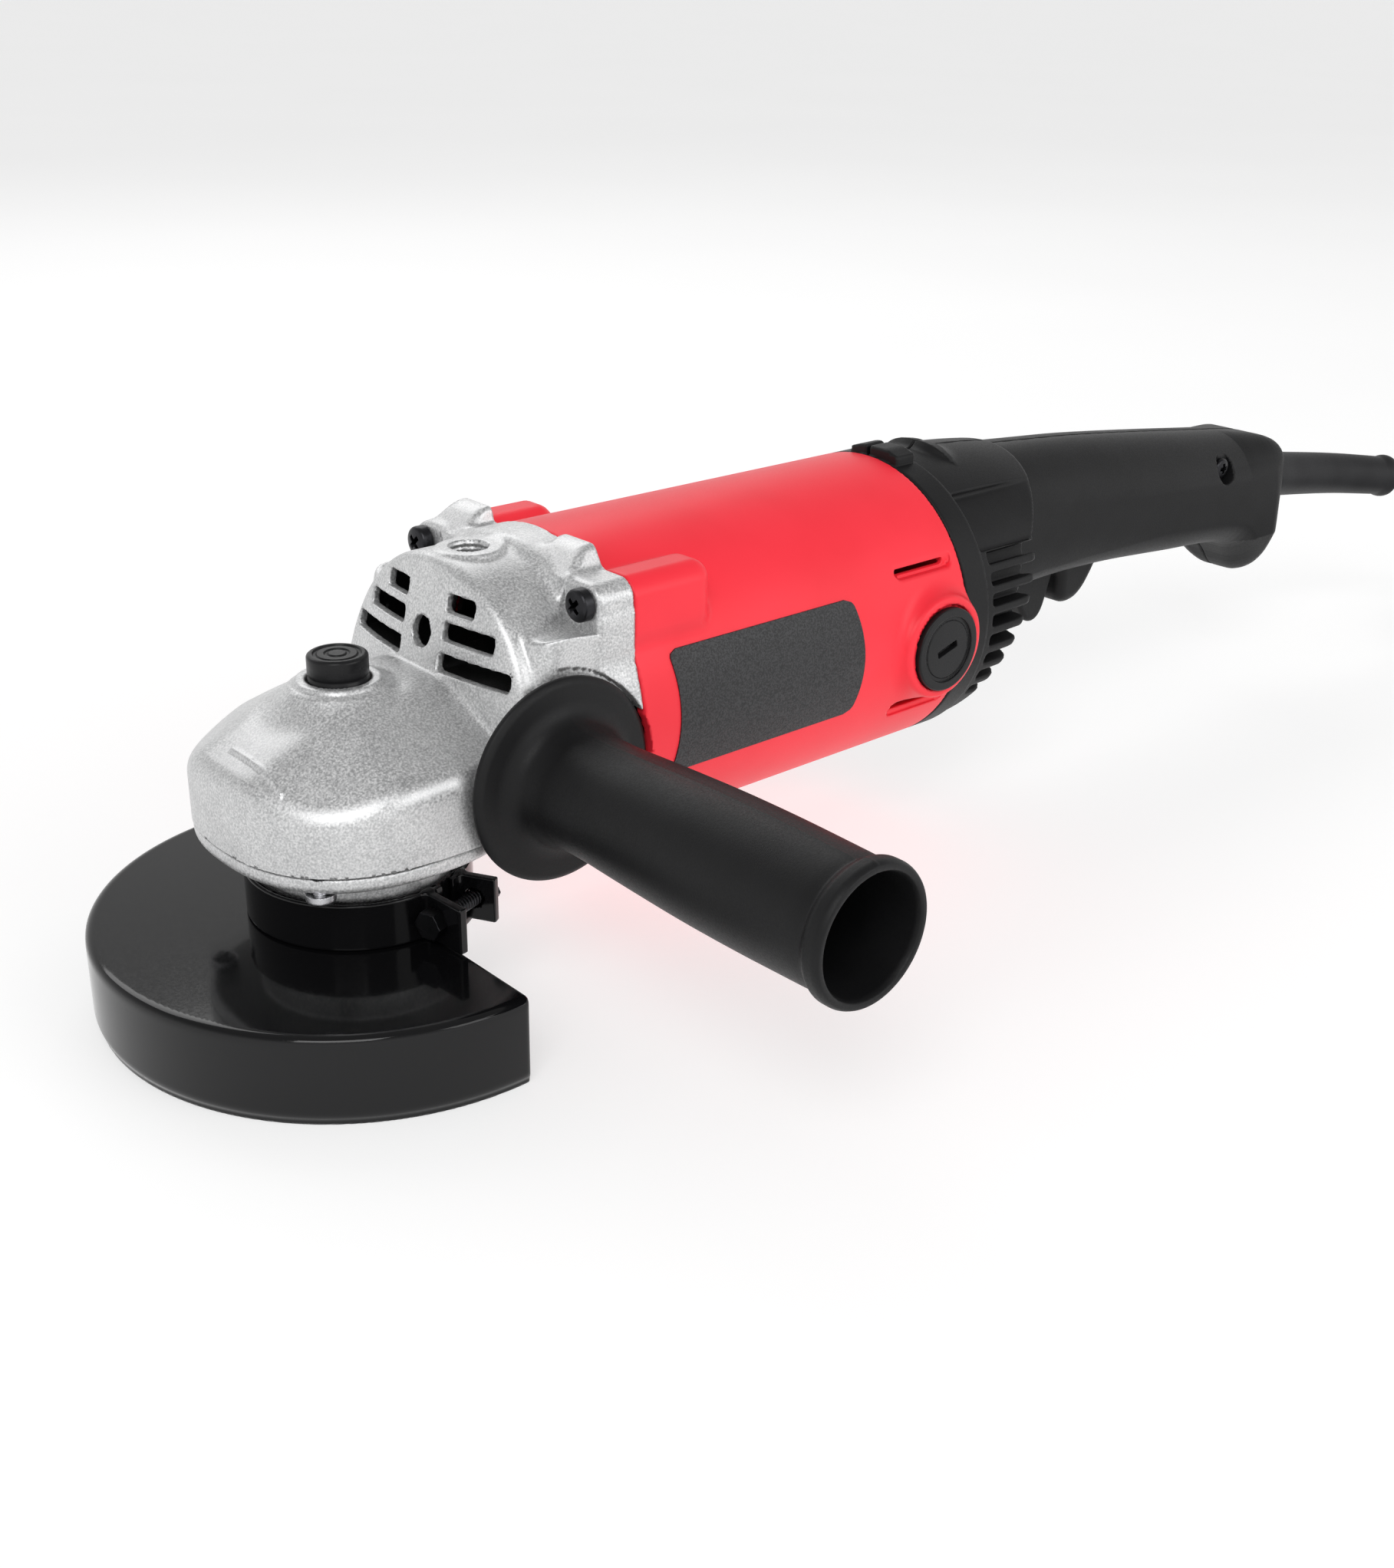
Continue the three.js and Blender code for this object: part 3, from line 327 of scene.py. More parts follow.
# Fields are negative inside a solid: "both" keeps what lies in both, "either" joins the two.
both, either = np.maximum, np.minimum


def smin(a, b, k):
    h = np.clip(0.5 + 0.5 * (b - a) / k, 0, 1)
    return b + (a - b) * h - k * h * (1 - h)


def smax(a, b, k):
    return -smin(-a, -b, k)


def rounded_box(x, y, z, centre, half, radius):
    qx = np.abs(x - centre[0]) - half[0] + radius
    qy = np.abs(y - centre[1]) - half[1] + radius
    qz = np.abs(z - centre[2]) - half[2] + radius
    outside = np.sqrt(np.maximum(qx, 0) ** 2 + np.maximum(qy, 0) ** 2 + np.maximum(qz, 0) ** 2)
    return outside + np.minimum(np.maximum(qx, np.maximum(qy, qz)), 0) - radius


def rounded_plate(flat, across, radius):
    """A plate whose outline and width meet in an edge of some radius."""
    a, b = flat + radius, across + radius
    return np.hypot(both(a, 0), both(b, 0)) + either(both(a, b), 0) - radius


def rounded_rect(a, b, centre, half, radius):
    return rounded_plate(np.abs(a - centre[0]) - half[0], np.abs(b - centre[1]) - half[1], radius)


def outline_field(points, a, b):
    """The signed distance from a closed outline, negative inside it."""
    a, b = np.broadcast_arrays(a, b)
    nearest = np.full(a.shape, 1e9)
    inside = np.zeros(a.shape, bool)
    for (ax, az), (bx, bz) in zip(points, np.roll(points, -1, axis=0)):
        ex, ez = bx - ax, bz - az
        wx, wz = a - ax, b - az
        t = np.clip((wx * ex + wz * ez) / (ex * ex + ez * ez), 0, 1)
        nearest = np.minimum(nearest, (wx - ex * t) ** 2 + (wz - ez * t) ** 2)
        if ez != 0:
            crossing = (az > b) != (bz > b)
            inside ^= crossing & (a < ax + (b - az) * ex / ez)
    return np.where(inside, -1, 1) * np.sqrt(nearest)


def smooth_outline(points, steps=5):
    """A closed curve through the points."""
    p = np.asarray(points, float)
    made = []
    for i in range(len(p)):
        p0, p1, p2, p3 = p[i - 1], p[i], p[(i + 1) % len(p)], p[(i + 2) % len(p)]
        for s in range(steps):
            t = s / steps
            made.append(0.5 * (2 * p1 + (p2 - p0) * t + (2 * p0 - 5 * p1 + 4 * p2 - p3) * t * t
                               + (3 * p1 - p0 - 3 * p2 + p3) * t ** 3))
    return np.array(made)


def skin(name, field, low, high, step, finish, body, nodes):
    """The surface where a field of x, y, z is zero, as a quad mesh with the field's own normals."""
    axes = [np.arange(low[i] - step, high[i] + 2 * step, step) for i in range(3)]
    x, y, z = axes[0][:, None, None], axes[1][None, :, None], axes[2][None, None, :]
    values = np.ascontiguousarray(np.broadcast_to(field(x, y, z), [len(a) for a in axes])).astype(np.float32)
    inside = values < 0
    count = np.zeros([n - 1 for n in values.shape], np.int8)
    corner = [(i, j, k) for i in (0, 1) for j in (0, 1) for k in (0, 1)]

    def cut(array, i, j, k):
        nx, ny, nz = count.shape
        return array[i:i + nx, j:j + ny, k:k + nz]

    for c in corner:
        count += cut(inside, *c)
    active = (count > 0) & (count < 8)
    index = np.full(count.shape, -1, np.int64)
    index[active] = np.arange(active.sum())
    cells = np.argwhere(active)
    at = {c: cut(values, *c)[active].astype(np.float64) for c in corner}
    total, hits = np.zeros((len(cells), 3)), np.zeros(len(cells))
    for c in corner:
        for axis in range(3):
            if c[axis]:
                continue
            other = tuple(1 if i == axis else v for i, v in enumerate(c))
            a, b = at[c], at[other]
            crosses = (a < 0) != (b < 0)
            share = np.where(crosses, a / np.where(crosses, a - b, 1), 0)
            place = np.tile(np.array(c, float), (len(cells), 1))
            place[:, axis] = share
            total += place * crosses[:, None]
            hits += crosses
    points = (cells + total / hits[:, None]) * step + np.array([a[0] for a in axes])
    faces = []
    for axis in range(3):
        u, v = [(1, 2), (2, 0), (0, 1)][axis]
        head = [slice(None)] * 3
        tail = [slice(None)] * 3
        head[axis], tail[axis] = slice(0, -1), slice(1, None)
        a, b = inside[tuple(head)], inside[tuple(tail)]
        edge = np.argwhere(a != b)
        for w in (u, v):
            edge = edge[(edge[:, w] > 0) & (edge[:, w] < count.shape[w])]
        solid_first = a[tuple(edge.T)]
        du, dv = np.zeros(3, int), np.zeros(3, int)
        du[u], dv[v] = 1, 1
        quad = np.stack([index[tuple((edge - du - dv).T)], index[tuple((edge - dv).T)],
                         index[tuple(edge.T)], index[tuple((edge - du).T)]], 1)
        quad[~solid_first] = quad[~solid_first][:, ::-1]
        faces.append(quad)
    faces = np.concatenate(faces)

    def slope(p):
        h = 0.04
        px, py, pz = p.T
        return np.stack([field(px + h, py, pz) - field(px - h, py, pz),
                         field(px, py + h, pz) - field(px, py - h, pz),
                         field(px, py, pz + h) - field(px, py, pz - h)], 1) / (2 * h)

    for _ in range(2):
        g = slope(points)
        f = field(*points.T)
        move = -(f / np.maximum((g ** 2).sum(1), 0.05))[:, None] * g
        far = np.linalg.norm(move, axis=1)
        move *= np.minimum(1, 0.6 * step / np.maximum(far, 1e-9))[:, None]
        points = points + move
    g = slope(points)
    g /= np.maximum(np.linalg.norm(g, axis=1), 1e-9)[:, None]
    return new_mesh(name, points, faces, finish, body, nodes, normals=g)


def filleted(corners, steps=5):
    """A profile of (r, z) or (r, z, fillet) corners with its fillets as short arcs."""
    closed = corners[0][:2] == corners[-1][:2]
    ring = corners[:-1] if closed else corners
    made = []
    for i, corner in enumerate(ring):
        here = np.array(corner[:2], float)
        fillet = corner[2] if len(corner) > 2 else 0
        ends = not closed and i in (0, len(ring) - 1)
        if not fillet or ends:
            made.append(here)
            continue
        before = np.array(ring[i - 1][:2], float) - here
        after = np.array(ring[(i + 1) % len(ring)][:2], float) - here
        lb, la = np.linalg.norm(before), np.linalg.norm(after)
        reach = min(fillet, lb * 0.49, la * 0.49)
        a, b = here + before / lb * reach, here + after / la * reach
        for s in range(steps + 1):
            t = s / steps
            made.append((1 - t) ** 2 * a + 2 * t * (1 - t) * here + t * t * b)
    if closed:
        made.append(made[0])
    return made


TO_MINUS_Y = Matrix(((1, 0, 0), (0, 0, -1), (0, 1, 0))).to_4x4()


def turned(name, profile, finish, body, nodes, at=Matrix.Identity(4), segments=96, angle=35, edit=None):
    """A profile of (r, z) points turned about Z, then moved by a matrix whose lengths are in millimetres."""
    profile = [np.array(p, float) for p in profile]
    closed = np.allclose(profile[0], profile[-1])
    if closed:
        profile = profile[:-1]
    points, rings = [], []
    for r, z in profile:
        if r < 1e-6:
            rings.append([len(points)] * segments)
            points.append((0, 0, z))
        else:
            rings.append(list(range(len(points), len(points) + segments)))
            for s in range(segments):
                a = 2 * math.pi * s / segments
                points.append((r * math.cos(a), r * math.sin(a), z))
    if edit:
        points = [edit(*p) for p in points]
    faces = []
    pairs = list(zip(rings, rings[1:] + rings[:1])) if closed else list(zip(rings, rings[1:]))
    for lower, upper in pairs:
        for s in range(segments):
            t = (s + 1) % segments
            face = [lower[s], lower[t], upper[t], upper[s]]
            clean = [v for i, v in enumerate(face) if v != face[i - 1]]
            if len(clean) > 2:
                faces.append(clean)
    moved = [tuple(at @ Vector(p)) for p in points]
    piece = new_mesh(name, moved, faces, finish, body, nodes, angle=angle)
    tidy_normals(piece, angle)
    return piece


def tidy_normals(piece, angle=35):
    edit = bmesh.new()
    edit.from_mesh(piece.data)
    bmesh.ops.recalc_face_normals(edit, faces=edit.faces)
    edit.to_mesh(piece.data)
    edit.free()
    piece.data.set_sharp_from_angle(angle=math.radians(angle))


def shift(x, y, z):
    return Matrix.Translation(Vector((x, y, z)))


def curve_points(knots, spacing=2.0):
    """A smooth run of points through the knots, evenly spaced."""
    p = [np.array(k, float) for k in knots]
    p = [2 * p[0] - p[1]] + p + [2 * p[-1] - p[-2]]
    made = []
    for p0, p1, p2, p3 in zip(p, p[1:], p[2:], p[3:]):
        a, b, c = (np.linalg.norm(v) ** 0.5 for v in (p1 - p0, p2 - p1, p3 - p2))
        m1 = p2 - p1 + b * ((p1 - p0) / a - (p2 - p0) / (a + b))
        m2 = p2 - p1 + b * ((p3 - p2) / c - (p3 - p1) / (b + c))
        for s in range(24):
            t = s / 24
            made.append((2 * t ** 3 - 3 * t ** 2 + 1) * p1 + (t ** 3 - 2 * t ** 2 + t) * m1
                        + (3 * t ** 2 - 2 * t ** 3) * p2 + (t ** 3 - t ** 2) * m2)
    made.append(p[-2])
    made = np.array(made)
    along = np.concatenate([[0], np.cumsum(np.linalg.norm(np.diff(made, axis=0), axis=1))])
    even = np.linspace(0, along[-1], max(2, int(round(along[-1] / spacing)) + 1))
    return np.stack([np.interp(even, along, made[:, i]) for i in range(3)], 1)


# ---------------------------------------------------------------- cord, sleeve and plug
COIL_X, COIL_Y = 496, -98
COIL_R, PITCH, TURNS = 56.3, 7.65, 3
CORD_D = 7.5
CORD_EXIT = (463.3, -14.1, 60)
ROUTE = [CORD_EXIT, (470, -16.2, 58.6), (480, -19.4, 55.2), (491, -23, 48.6), (501, -26.6, 38.5),
         (509, -29.6, 27.5), (518, -33.4, 17), (528, -38.2, 9.4), (538, -44.8, 5.3), (545.8, -54, 4.1),
         (549.4, -62, 3.85), (551.6, -74, 3.75), (552.3, -86, 3.75)]


def coil_points():
    """Three turns inward on the floor, up a layer, and three turns outward, clockwise from above."""
    made = []
    total = 2 * TURNS + 0.25
    count = int(total * 72)
    for i in range(count + 1):
        turn = total * i / count
        if turn <= TURNS:
            radius, z = COIL_R - PITCH * turn, CORD_D / 2
        elif turn <= TURNS + 0.25:
            share = (turn - TURNS) / 0.25
            radius = COIL_R - PITCH * TURNS
            z = CORD_D / 2 + (CORD_D + 0.12) * (3 * share ** 2 - 2 * share ** 3)
        else:
            radius = COIL_R - PITCH * (2 * TURNS + 0.25 - turn)
            z = CORD_D * 1.5 + 0.12
        a = -2 * math.pi * turn
        made.append((COIL_X + radius * math.cos(a), COIL_Y + radius * math.sin(a), z))
    return made


def add_cord():
    first = [tuple(p) for p in curve_points(ROUTE + [(552.3, -98, 3.75)], 4.0)][:-1]
    y = COIL_Y - COIL_R
    tail = [(488, y - 0.02, 11.2), (480, y, 10.6), (472, y, 9.4), (464.8, y, 8.3)]
    points = first + coil_points() + tail
    curve = bpy.data.curves.new("cord", "CURVE")
    curve.dimensions = "3D"
    curve.bevel_depth = CORD_D / 2 * MM
    curve.bevel_resolution = 6
    spline = curve.splines.new("POLY")
    spline.points.add(len(points) - 1)
    for point, p in zip(spline.points, points):
        point.co = (*(c * MM for c in p), 1)
    curve.materials.append(RUBBER)
    piece = bpy.data.objects.new("cord_line", curve)
    bpy.context.scene.collection.objects.link(piece)
    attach(piece, "housing")
    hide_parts("cord", "cord_coil")
    length = sum(math.dist(a, b) for a, b in zip(points, points[1:])) * MM
    print("cord length", round(length, 4))
    return piece, length


def add_sleeve():
    """The long rubber sleeve that guards the cord where it leaves the tail."""
    knots = [(380.3, 0, 70.2), (388, 0, 69.5), (408, -1, 67), (436, -5.5, 63.6), (463, -14, 60)]
    line = curve_points(knots, 0.9)
    total = len(line) - 1
    points, faces = [], []
    sides = 40
    for i, centre in enumerate(line):
        ahead = line[min(i + 1, total)] - line[max(i - 1, 0)]
        ahead /= np.linalg.norm(ahead)
        side = np.cross((0.0, 0, 1), ahead)
        side /= np.linalg.norm(side)
        upward = np.cross(ahead, side)
        radius = 8.5 - 1.25 * i / total
        left = (total - i) * 0.9
        if left < 5:
            radius = 7.2 + 0.85 * math.sin(min(1, left / 5) * math.pi) ** 0.6
        if left < 0.5:
            radius = 6.4
        for s in range(sides):
            a = 2 * math.pi * s / sides
            points.append(centre + (side * math.cos(a) + upward * math.sin(a)) * radius)
    for i in range(total):
        for s in range(sides):
            t = (s + 1) % sides
            faces.append((i * sides + s, i * sides + t, (i + 1) * sides + t, (i + 1) * sides + s))
    faces.append(tuple(range(sides)))
    faces.append(tuple(range(total * sides, total * sides + sides)))
    piece = new_mesh("cord_sleeve", points, faces, RUBBER, "housing", ["strain_relief"])
    tidy_normals(piece, 40)
    return piece


def plug_field(x, y, z):
    """A flat two-pin plug whose pins point to -X."""
    along = 445 - x
    side = np.abs(y - (COIL_Y - COIL_R))
    half = np.interp(along, [-1, 0, 4, 14, 24, 42, 43], [5, 6, 9.5, 12, 17.5, 17.8, 17.8])
    body = smax((side - half) * 0.85, np.maximum(-along, along - 42), 3)
    body = smax(body, np.abs(z - 8) - 7.5 + 0.0016 * side ** 2, 3.5)
    ring = np.hypot(side, z - 8)
    relief = np.maximum(ring - (4.6 + 0.045 * (along + 20)), np.maximum(-20 - along, along - 3))
    groove = 0.55 * np.clip(np.cos((along + 20) * 2 * np.pi / 4.4) - 0.2, 0, 1) * (along < -1)
    body = smin(body, relief + groove, 1.2)
    grip = 0.5 * (np.cos(along * 2 * np.pi / 3.2) > 0.2) * (along > 20) * (along < 36) * (side > 15)
    return body + grip * 0.6


def add_plug():
    plug = skin("mains_plug", plug_field, (402, -173, 0), (466, -136, 16), 0.6, RUBBER, "housing", ["plug"])
    pins = []
    for side in (-1, 1):
        profile = filleted([(0, 40), (2.4, 40), (2.4, 61, 1.2), (0, 61)])
        turn = Matrix(((0, 0, -1), (0, 1, 0), (1, 0, 0))).to_4x4()
        pins.append(turned(f"plug_pin_{side + 2}", profile, STEEL, "housing", [],
                           shift(445, COIL_Y - COIL_R + side * 9.5, 8) @ turn, 32))
    return plug, pins


cord_piece, cord_length = add_cord()
sleeve_piece = add_sleeve()
plug_piece, plug_pins = add_plug()


# ---------------------------------------------------------------- gear head
HEAD_HALF_X, HEAD_HALF_Y, HEAD_POWER = 37.3, 37.9, 2.4
HEAD_JOINT_Z = 48.3
LOCK_X = -2.4
DOME_Z = 69.3
TOP_SEAT_X = 36.3
SEAT_RELIEF_R = 26.8


def head_curve(x, y):
    """Rounded-square distance from the head's plan outline."""
    power = HEAD_POWER
    ratio = ((np.abs(x) / HEAD_HALF_X) ** power + (np.abs(y) / HEAD_HALF_Y) ** power) ** (1 / power)
    return (ratio - 1) * 37.6


def head_plan(x, y):
    """The head's plan: a rounded front, and straight sides behind the spindle."""
    return np.where(x < 0, head_curve(x, y), np.abs(y) - HEAD_HALF_Y)


def vent_face_x(y, z):
    """Where the leaning, slightly bulged face with the vents lies."""
    return 19.9 + 0.24 * (z - 84) + 0.004 * y * y


def from_lock(x, y):
    return np.hypot(x - LOCK_X, y)


def seat_relief(x, y, z):
    """The round relief on each side in which the side handle's flange stays clear."""
    seat = np.hypot(x - HANDLE_X, z - HANDLE_Z)
    return both(seat - SEAT_RELIEF_R, 38.2 - np.abs(y))


def soft_step(t, k=4.0):
    """Zero below nought and t above it, with a soft corner."""
    return 0.5 * (t + np.sqrt(t * t + k * k)) - 0.25 * k


def gear_head_top(x, y, z):
    """The roof over the bevel gears, its boss for the lock button, and the walls under it."""
    ay = np.abs(y)
    roof = z - (80.6 - 0.5 * soft_step(-9 - x) - 0.56 * soft_step(ay - 12))
    head = smax(head_plan(x, y), roof * 0.84, 3.6)
    boss = smax(from_lock(x, y) - 10.6, z - 83.4, 1.2)
    flank = (from_lock(x, y) - 13.6 + (z - 80) * 0.9) * 0.72
    head = smin(head, both(smax(flank, z - 82.2, 1.0), 70 - z), 1.6)
    head = smin(head, both(boss, 70 - z), 1.0)
    ridge = rounded_box(x, y, roof, (-30.2, -8, 0.0), (0.55, 11.3, 0.75), 0.5)
    return both(smin(head, ridge, 0.5), both(x - 48, HEAD_JOINT_Z - z))


def vent_dome(x, y, z):
    """The round housing over the fan, with its flat leaning face towards the button."""
    ay = np.abs(y)
    lateral = np.where(z > DOME_Z, np.hypot(y, z - DOME_Z) - 38.5, ay - 38.5)
    face = (vent_face_x(y, z) - x) * 0.97
    dome = smax(lateral, face, 2.8)
    flare = smax(smax(ay - 38.5, z - 97.0, 2.5), face + 3.5, 5)
    dome = smin(dome, flare, 1.5)
    hub = smax(np.hypot(x - TOP_SEAT_X, y) - 8.2, z - 108.1, 1.0)
    return both(smin(dome, hub, 2), 66 - z)


def screw_lugs(x, y, z, middle, half, radius):
    """The lugs around the four housing screws: two at the upper corners, two low and closer in."""
    ay, dz = np.abs(y), z - MOTOR_Z
    upper = rounded_box(x, ay, dz, (middle, 31.5, 29.3), (half, 7.2, 9.2), radius)
    upper = smax(upper, (ay + dz - 74.2) * 0.707, 1.5)
    return either(upper, rounded_box(x, ay, dz, (middle, 19, -36.3), (half, 5.2, 6.4), radius))


def screw_axis(y, z):
    """The distance from the nearest of the four housing screws' axes."""
    ay, dz = np.abs(y), z - MOTOR_Z
    return either(np.hypot(ay - 33.5, dz - 33.5), np.hypot(ay - 19, dz + 38))


def head_flange(x, y, z):
    """The round flange that bolts to the motor housing, with its lugs."""
    ay = np.abs(y)
    flange = smax(np.hypot(y, z - MOTOR_Z) - MOTOR_R, 46.5 - x, 2.0)
    flange = smax(flange, z - 109.5, 0.8)
    flange = smin(flange, screw_lugs(x, y, z, 53, 7.2, 2.4), 2.0)
    middle = np.where(y < 0, 17.8, 24.6)
    sides = np.abs(ay - middle) - 5.9 - (110.6 - z) * np.where(ay > middle, 0.56, 0.3)
    top = smax(sides * 0.88, z - 110.6, 1.6)
    top = smax(top, (53.4 - (110.6 - z) * 1.15 - x) * 0.7, 2.0)
    top = both(both(top, 92 - z), 46 - x)
    return smax(smin(flange, top, 1.6), x - 57, 0.5)


def scoop(x, y, z):
    """The channel for a screwdriver in front of each upper screw."""
    ay = np.abs(y)
    grow = np.clip(x - 27, 0, 20)
    channel = np.hypot(ay - 33.6, z - 100.3) - (5.9 + 0.1 * grow)
    channel = smax(channel, (26.6 - x) + 0.35 * (z - 97), 2.5)
    return both(channel, x - 45.9)


def head_hollow(x, y, z):
    """The gear space, the armature's bores, the fan space and the air duct over them."""
    axle = np.hypot(y, z - MOTOR_Z)
    hollow = both(np.hypot(x, y) - 29, z - 63.6)
    hollow = either(hollow, both(axle - 9.5, np.abs(x - 19) - 9.5))
    hollow = either(hollow, both(axle - 13.3, 28 - x))
    hollow = either(hollow, both(axle - 38.6, 49.5 - x))
    behind_face = vent_face_x(y, z) + 2.4 - x
    duct = both(np.hypot(y, z - DOME_Z) - 35.2, both(80.8 - z, behind_face))
    duct = both(duct, -either(axle - 15.5, 60 - x))
    hollow = either(hollow, duct)
    hollow = either(hollow, both(np.hypot(x, y) - 8.3, z - 70.6))
    return either(hollow, both(from_lock(x, y) - 3.0, z - 78))


def gear_housing_field(x, y, z):
    ay = np.abs(y)
    body = smin(gear_head_top(x, y, z), vent_dome(x, y, z), 1.6)
    body = smin(body, head_flange(x, y, z), np.clip(4 - 0.12 * (ay - 24), 1.5, 4))
    body = smax(body, -scoop(x, y, z), 1.2)
    body = both(body, x - 57)
    body = both(body, either(HEAD_JOINT_Z - z, 45.6 - x))
    body = smax(body, -seat_relief(x, y, z), 0.5)
    seat = np.hypot(x - HANDLE_X, z - HANDLE_Z)
    side_boss = smax(seat - 13, ay - 38.7, 0.6)
    side_boss = both(both(side_boss, 30 - ay), HEAD_JOINT_Z - z)
    body = both(either(body, side_boss), -head_hollow(x, y, z))
    body = smax(body, -both(from_lock(x, y) - 7.9, 76 - z), 0.6)
    body = both(body, -both(from_lock(x, y) - 7.3, 72.2 - z))
    for row, end in ((84, 32.4), (91.5, 26), (98.3, 18.2)):
        slot = rounded_rect(ay, z, ((8 + end) / 2, row), ((end - 8) / 2, 2.3), 1.3)
        body = smax(body, -both(slot, np.abs(x - 23) - 9), 0.5)
    body = smax(body, -both(np.hypot(y, z - 89.4) - 3.9, np.abs(x - 23) - 9), 0.4)
    thread = 4.7 + 0.35 * np.abs(((z / 1.5) % 1) * 2 - 1)
    body = smax(body, -both(np.hypot(x - TOP_SEAT_X, y) - thread, 96 - z), 0.5)
    body = smax(body, -both(seat - 4.7, 22 - ay), 0.5)
    return both(body, -both(screw_axis(y, z) - 2.4, 44 - x))


def bearing_cover_field(x, y, z):
    r = np.hypot(x, y)
    plate = smax(smax(head_curve(x, y) + 0.25, z - 48, 0.5), 44 - z, 2.2)
    neck = smax(smax(r - 25.2, 18.5 - z, 0.8), z - 46, 1)
    body = smin(plate, neck, 1.5)
    spigot = both(both(r - 28.4, 22 - r), both(47 - z, z - 50.5))
    body = either(body, spigot)
    body = smax(body, -both(r - 17.8, 30.7 - z), 0.4)
    body = smax(body, -(r - 13), 0.6)
    hole = np.hypot(np.abs(x) - 26, np.abs(y) - 26)
    return both(body, -(hole - 2.2))


def add_head():
    skin("head_casting", gear_housing_field, (-38.5, -43.5, 23), (57.5, 43.5, 113), 0.68, HEAD_CAST, "housing",
         ["gear_housing"])
    skin("cover_casting", bearing_cover_field, (-37.8, -38.2, 18), (37.8, 38.2, 51), 0.6, CAST, "housing",
         ["bearing_cover"])


def cross_head(u, v, depth, size):
    """A cross recess that narrows with its depth, cut into a head whose outer face is at depth zero."""
    arm = size - depth * 0.35
    bar = 0.62 - depth * 0.08
    first = both(np.abs(u) - arm, np.abs(v) - bar)
    second = both(np.abs(v) - arm, np.abs(u) - bar)
    return either(first, second)


def screw_solid(u, v, out, head, soft, dome, stem, cross):
    """A domed cross-head screw, where out is the height over its seat. The head has a radius and a height, the
    stem a radius, a length and an overlap into the head, and the cross an arm and the height of its floor."""
    r = np.hypot(u, v)
    cap = both(smax(r - head[0], out - head[1] + dome * r * r, soft), -out)
    shank = both(both(r - stem[0], -out - stem[1]), out - stem[2])
    recess = both(cross_head(u, v, head[1] - out, cross[0]), cross[1] - out)
    return smax(either(cap, shank), -recess, 0.15)


def add_housing_screws():
    for i, (y0, dz) in enumerate([(-19, -38), (19, -38), (-33.5, 33.5), (33.5, 33.5)]):
        z0 = MOTOR_Z + dz

        def field(x, y, z, y0=y0, z0=z0):
            u = ((y - y0) + (z - z0)) * math.sqrt(0.5)
            v = ((y - y0) - (z - z0)) * math.sqrt(0.5)
            return screw_solid(u, v, 45.75 - x, (4.15, 3.6), 0.9, 0.045, (2.05, 10.25, 0.5), (2.3, 1.3))

        skin(f"flange_screw_{i + 1}", field, (41.5, y0 - 4.5, z0 - 4.5), (57, y0 + 4.5, z0 + 4.5), 0.22,
             BLACK_STEEL, "housing", [f"housing_screw_{i + 1}"])
    for i, (x0, y0) in enumerate([(-26, -26), (26, -26), (-26, 26), (26, 26)]):

        def field(x, y, z, x0=x0, y0=y0):
            return screw_solid(x - x0, y - y0, 43.7 - z, (3.6, 2.7), 0.8, 0.05, (1.9, 10.3, 0.5), (1.9, 0.9))

        skin(f"cover_bolt_{i + 1}", field, (x0 - 4, y0 - 4, 40.5), (x0 + 4, y0 + 4, 55), 0.25, STEEL, "housing",
             [f"cover_screw_{i + 1}"])


def add_lock():
    at = shift(LOCK_X, 0, 0)
    cap = [(2.9, 82), (5.4, 82), (5.4, 80), (7.36, 80, 0.3), (7.36, 83.4), (7.1, 83.7), (7.1, 84.2),
           (7.36, 84.5), (7.36, 88.9, 0.9), (6.5, 89.4, 0.3), (5.9, 89.4, 0.15), (5.6, 88.9, 0.15), (5.0, 88.9, 0.15),
           (4.7, 89.3, 0.15), (3.2, 89.35, 0.15), (2.9, 88.95, 0.15), (2.3, 88.95, 0.15), (2.0, 89.35, 0.15),
           (0, 89.4)]
    profile = filleted(cap) + [(0, 87), (2.9, 87), (2.9, 82)]
    turned("lock_cap", profile, SMOOTH_BLACK, "spindle_lock", ["lock_button"], at, angle=50)


# ---------------------------------------------------------------- guard and clamp
def guard_field(x, y, z):
    r = np.hypot(x, y)
    outer = smax(r - 67 + 2.2 * (np.clip(4 - z, 0, 4) / 4) ** 2, z - 23, 2.6)
    inner = smax(r - 65.3, z - 21, 1.8)
    shell = both(both(outer, -inner), -z)
    rim = smax(both(r - 66.0, 63.2 - r), np.abs(z - 0.85) - 0.85, 0.5)
    shell = smin(both(shell, 1.2 - z), rim, 0.4)
    corner = smax(x - 3, r - 67, 2)
    kept = either(both(x - 3, corner), r - 29.4)
    shell = smax(shell, kept, 0.5)
    neck = both(both(r - 26.6, 25.5 - r), both(z - 35.5, 21 - z))
    foot = smin(shell, neck, 0.6)
    return both(foot, 25.5 - r)


CLAMP_ANGLE = -73.25  # of the clamping bolt's middle about the spindle
BOLT_R, BOLT_Z = 31.2, 29.5


def turn_axes(x, y, angle):
    a = math.radians(angle)
    return x * math.cos(a) + y * math.sin(a), -x * math.sin(a) + y * math.cos(a)


